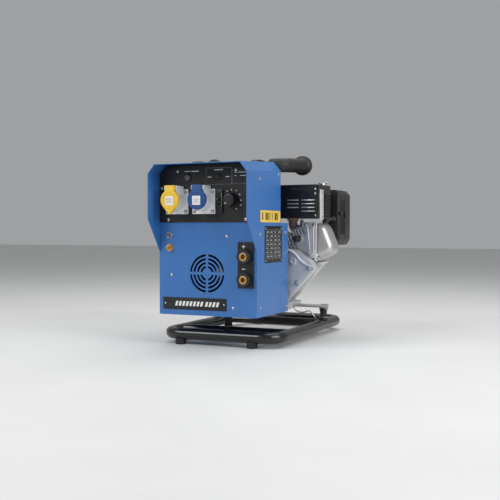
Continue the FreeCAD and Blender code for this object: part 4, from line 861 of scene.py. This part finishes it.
def add_knob():
    """Fluted knob, and a pointer near its rim at 225 degrees."""
    low, high, centre = measured("current_knob")
    tall = high.y - low.y
    wide = (high.x - low.x) / 2
    slim = wide * 0.86
    profile = [(0, 0, 0), (wide, 0, 0), (wide, tall * 0.12, 0), (wide * 0.93, tall * 0.2, 1),
               (slim, tall * 0.86, 1), (slim * 0.95, tall * 0.94, 0.5), (slim * 0.84, tall * 0.99, 0),
               (slim * 0.6, tall, 0), (slim * 0.55, tall * 0.97, 0), (0, tall * 0.97, 0)]
    place = on_front(centre, high.y)
    add_piece("knob_body", "black_plastic", fluted(profile, 20, 0.0012), place, body="knob",
              stands_for=["current_knob"])
    angle = math.radians(225)
    away = Vector((math.cos(angle), 0, math.sin(angle)))
    end = Vector((centre.x, low.y + 0.0001, centre.z))
    mark = facing(end + away * slim * 0.72, FRONT, math.radians(135))
    add_piece("knob_pointer", "white_print", slab(0.0014, slim * 0.42, 0.0004, 0.0001), mark, body="knob")


def add_buttons():
    """Domed caps, each in a collar that stands on its panel's face."""
    for node, body, collar_finish, face in (
        ("idle_button", "idle", "black_plastic", PLATE_FACE), ("reset_button", "reset", "zinc_steel", 0),
    ):
        low, high, centre = measured(node)
        radius = (high.x - low.x) / 2
        tall = high.y - low.y
        profile = [(0, 0), (radius, 0), (radius, tall - radius * 0.4), (radius * 0.95, tall - radius * 0.22),
                   (radius * 0.78, tall - radius * 0.09), (radius * 0.45, tall - radius * 0.01), (0, tall)]
        place = on_front(centre, high.y)
        add_piece(node + "_cap", "button_grey", turned(profile, 48), place, body=body, stands_for=[node])
        hole, rim = radius + 0.0003, radius + 0.0024
        ring = [(hole, 0), (rim, 0), (rim, 0.0012), (rim - 0.0007, 0.002), (hole, 0.0016), (hole, 0)]
        seat = on_front(centre, panel_y + face * MM)
        add_piece(node + "_collar", collar_finish, turned(ring, 48), seat)


def add_weld_collars():
    """Moulded locating rib round the mouth of each weld socket."""
    for index, (low, _, centre) in enumerate(solid_boxes("weld_socket_bodies")):
        ring = turned([(0.0112, 0), (0.0176, 0), (0.0182, 0.0006), (0.0176, 0.0014), (0.0122, 0.0014),
                       (0.0112, 0.0008), (0.0112, 0)], 48)
        place = on_front(centre, low.y + 0.0002)
        add_piece("weld_collar_%d" % index, "black_plastic", ring, place)


# ---- handle and base frame


def add_grips():
    """Ribbed rubber sleeves that follow each bend of the handle and end in a flange, in millimetres."""
    slope = math.radians(3.5)
    half, bend, end, sleeve = 147, 30, 160, 20
    straight, mouth, rib_pitch, rib_depth = 12, 7, 5.5, 0.55
    place = Matrix.Translation(spot(0, 186, 503)) @ Matrix.Rotation(slope, 4, "X")
    piece = Piece("grip_sleeves")
    for side in (-1, 1):
        line = [Vector((side * (half - bend - straight + x), 0, 0)) for x in range(0, straight, 2)]
        for step in range(13):
            angle = math.radians(-90 + 90 * step / 12)
            across, along = bend * math.cos(angle), bend * math.sin(angle)
            line.append(Vector((side * (half - bend + across), bend + along, 0)))
        line += [Vector((side * half, y, 0)) for y in range(bend + 1, end + 1)]
        travelled, radii = 0, []
        for index, point in enumerate(line):
            travelled += (point - line[index - 1]).length if index else 0
            left_over = end - point.y
            radius = sleeve - 4.5 * max(0, 1 - travelled / mouth) ** 2
            if bend + 8 < point.y < end - 28:
                radius += rib_depth * math.sin(point.y * 2 * math.pi / rib_pitch)
            flare = min(1, max(0, (26 - left_over) / 13))
            radius += 9 * flare * flare * (3 - 2 * flare)
            radius -= 3 * max(0, 1 - left_over / 4) ** 2
            radii.append(radius * MM)
        piece.take(swept([point * MM for point in line], radii, 36), place)
    piece.done("black_rubber", stands_for=["handle_grips"])


def add_mounts():
    """Waisted rubber buffers between zinc plates."""
    thick = 0.0012
    rubber, plates = Piece("buffer_rubber"), Piece("buffer_plates")
    for low, high, centre in solid_boxes("rubber_mounts"):
        radius = (high.x - low.x) / 2
        tall = high.z - low.z
        shoulder, waist, rim, hole = radius * 0.93, radius * 0.8, radius + 0.0012, radius * 0.7
        profile = [(0, 0), (radius, 0), (radius, tall * 0.1), (shoulder, tall * 0.2), (waist, tall * 0.4),
                   (waist, tall * 0.6), (shoulder, tall * 0.8), (radius, tall * 0.9), (radius, tall),
                   (0, tall)]
        rubber.take(turned(profile, 40), facing((centre.x, centre.y, low.z), UP))
        for share in (0.26, 0.97):
            ring = turned([(hole, 0), (rim, 0), (rim, thick), (hole, thick), (hole, 0)], 40)
            plates.take(ring, facing((centre.x, centre.y, low.z + tall * share - thick), UP))
    rubber.done("black_rubber", stands_for=["rubber_mounts"])
    plates.done("zinc_steel")


def add_rail_bolts():
    piece = Piece("rail_bolt_heads")
    for low, high, centre in solid_boxes("rail_bolts"):
        flat = min(0.013, high.x - low.x)
        bolt = hex_bolt(flat, high.z - low.z + 0.0004, flat * 0.56)
        piece.take(bolt, facing((centre.x, centre.y, low.z), UP))
    piece.done("zinc_steel", stands_for=["rail_bolts"])


# ---- engine

stroke = [joint for joint in behaviour["joints"] if joint["name"] == "piston_stroke"][0]
lean_x, _, lean_z = stroke["axis"]
CASE_FACE = 235  # front of the crankcase cover, in millimetres from the front panel's plane
GUARD_SIDE = 232  # right side of the muffler guard, in millimetres from the crank axis
CLEANER_SIDE = 247  # right side of the air cleaner


def on_lean(along, across=0.0, y=330):
    """Matrix on the leaning cylinder: local Z along its axis, local Y across it and up, X to the rear."""
    x = along * lean_x - across * lean_z
    z = shaft_z / MM + along * lean_z + across * lean_x
    turn = Matrix(((0, -lean_z, lean_x), (1, 0, 0), (0, lean_x, lean_z))).to_4x4()
    return Matrix.Translation(spot(x, y, z)) @ turn


def add_rocker_cover():
    """Pressed cover: a flat rim with a bolt at each corner, and a dome that is drawn in at its corners."""
    dome = [(0, 45, 55, 9), (3.2, 45, 55, 9), (4, 44, 54, 9), (4.2, 42, 52, 20), (7, 41, 51, 20),
            (32, 40.5, 50, 20), (43, 38.5, 47.5, 20), (50, 34, 43, 20), (54.4, 27, 35, 17),
            (56.6, 18, 25, 12), (57.4, 8, 12, 6)]
    add_piece("cover_pressing", "stamped_cover", lofted(in_metres(dome), 7), on_lean(208),
              stands_for=["rocker_cover"])
    bolts = [on_lean(212, side_z * 49, 330 + side_y * 39) for side_y, side_z in CORNERS]
    add_piece("cover_bolts", "zinc_steel", hex_bolt(0.0082, 0.0052, 0.0056), *bolts)
    joint = [(0, 45.5, 55.5, 9), (0.9, 45.5, 55.5, 9)]
    add_piece("cover_gasket", "dark_core", lofted(in_metres(joint)), on_lean(207.6))


def add_head_details():
    """Port on top of the head where the exhaust joins, its two nuts, and a lifting bracket."""
    soften_node("cylinder_head", 0.0014)
    upward = Matrix.Rotation(math.radians(-90), 4, "X")
    port = lofted(in_metres([(0, 15, 22, 6), (5, 15, 22, 6), (6, 14, 21, 5)]))
    add_piece("exhaust_port", "cast_aluminium", port, on_lean(184, 54, 300) @ upward)
    nuts = [on_lean(along, 59, 300) @ upward for along in (169, 199)]
    add_piece("port_nuts", "zinc_steel", hex_bolt(0.0095, 0.0075, 0.0065), *nuts)
    outline = [(0, 0), (0.012, 0), (0.012, 0.022), (0.008, 0.026), (0.004, 0.026), (0, 0.022)]
    add_piece("head_bracket", "zinc_steel", rounded_slab(outline, 0.0018, bevel=0.0004), at(160, 284, 326))


def add_spark_plug():
    """Ribbed insulator, hexagon shell, terminal and rubber cap."""
    seat = on_lean(185, 25, 275) @ Matrix.Rotation(math.radians(-90), 4, "Y")
    insulator = [(0, 12), (6.6, 12), (6.6, 14)]
    for rib in range(4):
        base = 14 + rib * 3.4
        insulator += [(5.6, base + 0.6), (5.6, base + 1.6), (6.6, base + 2.4), (6.6, base + 3.4)]
    insulator += [(4.4, 29.4), (0, 29.4)]
    ribbed = turned(in_metres(insulator), 28)
    add_piece("plug_insulator", "ceramic_white", ribbed, seat, stands_for=["spark_plug"])
    shell = Piece("plug_shell")
    shell.take(turned(in_metres([(0, 0), (10, 0), (10, 2.4), (8, 3), (0, 3)]), 32), seat)
    shell.take(rounded_slab(hexagon(0.016), 0.009, bevel=0.0006), seat @ Matrix.Translation((0, 0, 0.003)))
    terminal = [(0, 29.4), (3, 29.4), (3, 31), (2.2, 32), (3, 33), (2, 34), (0, 34)]
    shell.take(turned(in_metres(terminal), 20), seat)
    shell.done("zinc_steel")
    boot = [(6.9, 12.5), (9.6, 12.5), (9.8, 15), (8.6, 16), (8.8, 26), (9.6, 27), (9.6, 30), (8.4, 34),
            (5, 36.5), (0, 37), (0, 34.2), (6.9, 34.2), (6.9, 12.5)]
    add_piece("plug_cap", "black_rubber", turned(in_metres(boot), 32), seat)


def add_head_shroud():
    """Cast guide plate that stands upright in front of the head, with two creases and three bolts."""
    foot, thick = 273.4, 3.2
    face = foot - thick
    outline = [(176, 343), (189, 239), (215, 239), (216, 343)]
    plate = rounded_slab(in_metres(outline), thick * MM, bevel=0.0014, segments=3)
    add_piece("head_shroud", "cast_aluminium", plate, at(0, foot, 0))
    crease = Piece("shroud_crease")
    for x_low, x_high in ((187, 196.5), (205, 206)):
        line = [spot(x_high, face, 250), spot((x_low + x_high) / 2, face, 292), spot(x_low, face, 334)]
        crease.take(swept(smooth_line(line, 6), 0.0016, 12))
    crease.done("cast_aluminium")
    seats = [at(x, face, z) for x, z in ((183, 334), (208, 334), (198, 246))]
    add_piece("shroud_bolts", "zinc_steel", hex_bolt(0.0082, 0.005, 0.0056), *seats)


def add_exhaust():
    """Bent pipe from the muffler down and round into the head, browned by heat, with a welded collar."""
    x, y, bend, axis_z = 131, 300, 15, 323
    line = [(x, y, 361 - step * 3) for step in range(7)]
    for step in range(11):
        angle = math.radians(180 + 90 * step / 10)
        line.append((x + bend + bend * math.cos(angle), y, axis_z + bend + bend * math.sin(angle)))
    line += [(x + bend + step * 2, y, axis_z) for step in range(1, 7)]
    pipe = Piece("exhaust_elbow")
    pipe.take(swept([spot(*point) for point in line], 0.013, 32))
    collar = [(0, 0), (14, 0), (15.6, 1), (17, 3), (17, 11), (16, 13), (0, 13)]
    pipe.take(turned(in_metres(collar), 36), at(x, y, 346.5, UP))
    pipe.done("heat_tinted_steel", stands_for=["exhaust_pipe"])
    bead = turned(in_metres([(12.6, 0), (14.2, 0.6), (14.4, 1.6), (13.8, 2.6), (12.6, 3)]), 36)
    add_piece("exhaust_bead", "heat_tinted_steel", bead, at(x, y, 338, UP))


def add_case_details():
    """Gasket, bolts, bosses, band and ribs of the crankcase cover."""
    soften_node("crankcase", 0.003)
    rim = [(-100, 88), (130, 88), (130, 108), (224, 213), (206, 234), (165, 262), (118, 268), (80, 298),
           (-45, 298), (-88, 240), (-100, 150)]
    middle_x, middle_z, proud = 40, 190, 0.8
    grown = []
    for x, z in rim:
        reach = math.hypot(x - middle_x, z - middle_z)
        grown.append((x + (x - middle_x) / reach * proud, z + (z - middle_z) / reach * proud))
    add_piece("case_gasket", "dark_core", rounded_slab(in_metres(grown), 0.001), at(0, 272.5, 0))
    bolts = [(129, 124), (169, 168), (206, 211), (112, 100), (10, 100), (-88, 102), (-88, 165), (-78, 232),
             (-34, 286), (66, 286)]
    places = [at(x, CASE_FACE, z, turn=x * 0.1) for x, z in bolts]
    add_piece("case_bolts", "zinc_steel", hex_bolt(0.0104, 0.0072, 0.0078), *places)
    boss = turned(in_metres([(0, 0), (11, 0), (10.4, 3), (9.6, 4), (4, 4), (4, 2.4), (0, 2.4)]), 40)
    add_piece("case_boss", "cast_aluminium", boss, at(157, CASE_FACE, 231))
    line = ((120, 264), (148, 259), (166, 247), (178, 233), (197, 220), (221, 212))
    band = smooth_line([spot(x, CASE_FACE + 1, z) for x, z in line])
    add_piece("case_band", "cast_aluminium", swept(band, 0.0052, 24))
    ring = turned(in_metres([(20, 0), (34, 0), (33, 4), (31, 6), (24, 6), (22, 4)]), 64)
    add_piece("bearing_boss", "cast_aluminium", ring, at(0, CASE_FACE, shaft_z / MM))
    ribs = []
    for turn in range(0, 360, 45):
        angle = math.radians(turn)
        ribs.append(at(50 * math.cos(angle), CASE_FACE, shaft_z / MM + 50 * math.sin(angle), turn=angle))
    add_piece("case_ribs", "cast_aluminium", slab(0.036, 0.005, 0.0042, 0.0012), *ribs)


def add_guard_details():
    """Bright strip, side louvres, screws and the wing nut on the muffler guard."""
    middle_z = 393
    strip = slab(0.030, 0.086, 0.0014, 0.0004)
    add_piece("guard_strip", "muffler_steel", strip, at(GUARD_SIDE, 266, middle_z, RIGHT))
    louvres = Piece("guard_louvres")
    louvres.take(slab(0.056, 0.082, 0.0008, 0.0002), at(GUARD_SIDE, 314, middle_z, RIGHT))
    fold = [(0, 0), (0.0052, 0.0), (0.0046, 0.0014), (0.0, 0.0048)]
    turn = Matrix(((1, 0, 0), (0, 0, 1), (0, 1, 0))).to_4x4()
    louvres.take(rounded_slab(fold, 0.048, bevel=0.0004),
                 *(Matrix.Translation(spot(232.4, 290, 357 + step * 9.4)) @ turn for step in range(8)))
    louvres.done("black_plate")
    screws = [at(x, 236, z, turn=x) for x, z in ((224, 437), (224, 424), (112, 442), (112, 362), (224, 362))]
    add_piece("guard_screws", "zinc_steel", pan_head(0.0033, 0.002), *screws)
    side_screws = [at(233.4, 266, z, RIGHT, z) for z in (357, 429)]
    add_piece("strip_screws", "zinc_steel", pan_head(0.0036, 0.0022), *side_screws)
    lean = Matrix.Rotation(math.radians(-24), 4, "X")
    blades = Piece("guard_slot_blades")
    for level in range(4):
        for middle_x, length in ((156, 36), (202, 42)):
            if level or middle_x > 200:
                place = at(middle_x, 238.4, 375 + level * 10.5) @ lean
                blades.take(slab(length * MM, 0.0052, 0.0008, 0.0002), place)
    blades.done("muffler_steel")
    x, y, top = 217, 322, 450
    nut = Piece("guard_wing_nut")
    barrel = [(0, 0), (8, 0), (8, 1.2), (6, 1.6), (5, 7), (4, 8), (0, 8)]
    nut.take(turned(in_metres(barrel), 32), at(x, y, top, UP))
    wing = [(3, 2), (9, 4), (15, 8), (15.5, 10.5), (13, 11.4), (8, 9.4), (3, 6)]
    for side in (-1, 1):
        outline = in_metres((side * across, rise) for across, rise in wing)
        nut.take(rounded_slab(outline, 0.0026, bevel=0.0008), at(x, y + 1.3, top))
    nut.done("zinc_steel")


def add_intake_details():
    """Air cleaner with a lip, ribs, a clip and a knob, and the breather hose from the rocker cover."""
    soften_node("air_cleaner", 0.004, 4)
    soften_node("carburettor", 0.001, 2)
    outline = [(189.2, 274.4), (235.4, 274.4), (247.9, 294.6), (247.9, 426.4), (232.4, 441.9), (189.2, 441.9)]
    lip = rounded_slab(in_metres(outline), 0.005, bevel=0.0012)
    add_piece("cleaner_lip", "black_plastic", lip, at(0, 444, 0))
    ribs = [at(CLEANER_SIDE, 402 + step * 8, 358, RIGHT) for step in range(5)]
    add_piece("cleaner_ribs", "black_plastic", slab(0.0035, 0.104, 0.0011, 0.0005), *ribs)
    clip = Piece("cleaner_clip")
    clip.take(slab(0.016, 0.011, 0.0042, 0.0014), at(CLEANER_SIDE, 393, 370, RIGHT))
    clip.take(slab(0.022, 0.016, 0.0032, 0.001), at(CLEANER_SIDE + 0.9, 442, 366, RIGHT))
    clip.done("black_plastic")
    knob = [(0, 0, 0), (13, 0, 0), (13, 2, 0), (11.6, 3, 1), (11.2, 8.6, 1), (10, 9.8, 0.4), (7, 10.4, 0),
            (0, 10.4, 0)]
    profile = [(radius * MM, height * MM, share) for radius, height, share in knob]
    add_piece("cleaner_knob", "black_plastic", fluted(profile, 12, 0.0012, 96), at(218, 495.6, 358, REAR))
    bends = ((204, 351, 318), (208, 356, 334), (217, 366, 348), (226, 379, 353), (229, 389, 353))
    hose = smooth_line([spot(*point) for point in bends], 7)
    add_piece("breather_hose", "black_rubber", swept(hose, 0.0056, 20))
    clamp = turned(in_metres([(5.4, 0), (6.8, 0), (6.8, 4), (5.4, 4), (5.4, 0)]), 28)
    places = [facing(hose[3], hose[4] - hose[3]), facing(hose[-5], hose[-4] - hose[-5])]
    add_piece("hose_clamps", "zinc_steel", clamp, *places)


def add_tank_details():
    """Seam flange round the tank and a fluted cap."""
    soften_node("fuel_tank", 0.005, 4)
    low, high, centre = measured("fuel_tank")
    proud, chamfer, corner, seam_z = 0.003, 0.001, 0.027, 0.399
    half_x, half_y = (high.x - low.x) / 2 + proud, (high.y - low.y) / 2 + proud
    ring = [(-0.0012, half_x - chamfer, half_y - chamfer, corner), (-0.0008, half_x, half_y, corner),
            (0.0008, half_x, half_y, corner), (0.0012, half_x - chamfer, half_y - chamfer, corner)]
    add_piece("tank_seam", "black_plate", lofted(ring, 8), Matrix.Translation((centre.x, centre.y, seam_z)))
    low, high, centre = measured("fuel_cap")
    radius, tall = (high.x - low.x) / 2, high.z - low.z
    rim = [(0, 0, 0), (radius, 0, 0), (radius, tall * 0.1, 0), (radius * 0.985, tall * 0.16, 1),
           (radius * 0.955, tall * 0.74, 1), (radius * 0.91, tall * 0.85, 0.5), (radius * 0.8, tall * 0.9, 0),
           (radius * 0.5, tall * 0.92, 0), (radius * 0.46, tall, 0), (0, tall, 0)]
    place = facing((centre.x, centre.y, low.z), UP)
    add_piece("cap_moulding", node_slot["fuel_cap"], fluted(rim, 18, 0.0016), place, body="cap",
              stands_for=["fuel_cap"])


def add_rear_details():
    """Three bolted ears round the recoil cover, and rounded pressings."""
    soften_node("blower_housing", 0.0025)
    soften_node("starter_grip", 0.003, 4)
    low, high, centre = measured("recoil_cover")
    inset, ear_reach, ear_thick = 0.007, 0.015, 0.004
    reach = (high.x - low.x) / 2 - inset
    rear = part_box("blower_housing")[1].y
    ears = [(centre.x + (reach + ear_reach) * math.cos(a), rear, centre.z + (reach + ear_reach) * math.sin(a))
            for a in (math.radians(t) for t in (35, 155, 275))]
    lug = turned(in_metres([(0, 0), (10, 0), (10, 3), (9, 4), (0, 4)]), 32)
    add_piece("recoil_ears", "stamped_cover", lug, *(facing(place, REAR) for place in ears))
    tops = [facing(Vector(place) + REAR * ear_thick, REAR) for place in ears]
    add_piece("recoil_screws", "zinc_steel", hex_bolt(0.0092, 0.006, 0.0066), *tops)


def add_rail_details():
    """Earth strap from the rail to a clamp on the rear cross tube, and a bracket at the rail's end."""
    strap = ((92, 412.5, 82), (97, 412, 71), (112, 411.5, 66), (127, 411.5, 66.5), (140, 411.5, 71),
             (152, 412, 62), (160, 416, 50), (162, 428, 46.6))
    line = smooth_line([spot(*point) for point in strap], 7)
    add_piece("earth_strap", "zinc_steel", swept(line, 0.002, 12))
    lug = turned(in_metres([(0, 0), (5.5, 0), (5.5, 1.4), (0, 1.4)]), 28)
    add_piece("strap_lug", "zinc_steel", lug, at(91, 414, 84))
    clamp = turned(in_metres([(12.4, 0), (14.6, 0.6), (14.8, 6), (14.6, 11.4), (12.4, 12), (12.4, 0)]), 48)
    add_piece("strap_clamp", "heat_tinted_steel", clamp, at(156, 434, 32.5, RIGHT))
    add_piece("rail_end_bracket", "zinc_steel", slab(0.020, 0.018, 0.0022, 0.0006), at(190, 434, 83, RIGHT))


def soften_the_rest():
    """Rounded edges, as (node, width, segments), for nodes that need no more than that."""
    for node, width, segments in (
        ("yellow_socket_housing", 0.0009, 3), ("blue_socket_housing", 0.0009, 3),
        ("breaker_toggle", 0.0008, 3), ("breaker_body", 0.0008, 2), ("selector_rocker", 0.0006, 2),
        ("handle_clamps", 0.0016, 3), ("engine_rail", 0.001, 2), ("name_plate", 0.0004, 2),
        ("earth_nut", 0.0005, 2), ("oil_plug", 0.001, 2), ("engine_switch", 0.0012, 3),
        ("choke_lever", 0.0006, 2), ("inverter_module", 0.0006, 2),
    ):
        soften_node(node, width, segments)


add_camera()
add_lights()
add_floor()
dress_nodes()
add_panel_screws()
add_flange_screws()
add_control_print()
add_panel_gap_shade_lip()
add_socket_signs()
add_name_plate_print()
add_side_labels()
add_lids()
add_knob()
add_buttons()
add_weld_collars()
add_grips()
add_mounts()
add_rail_bolts()
add_rocker_cover()
add_head_details()
add_spark_plug()
add_head_shroud()
add_exhaust()
add_case_details()
add_guard_details()
add_intake_details()
add_tank_details()
add_rear_details()
add_rail_details()
soften_the_rest()
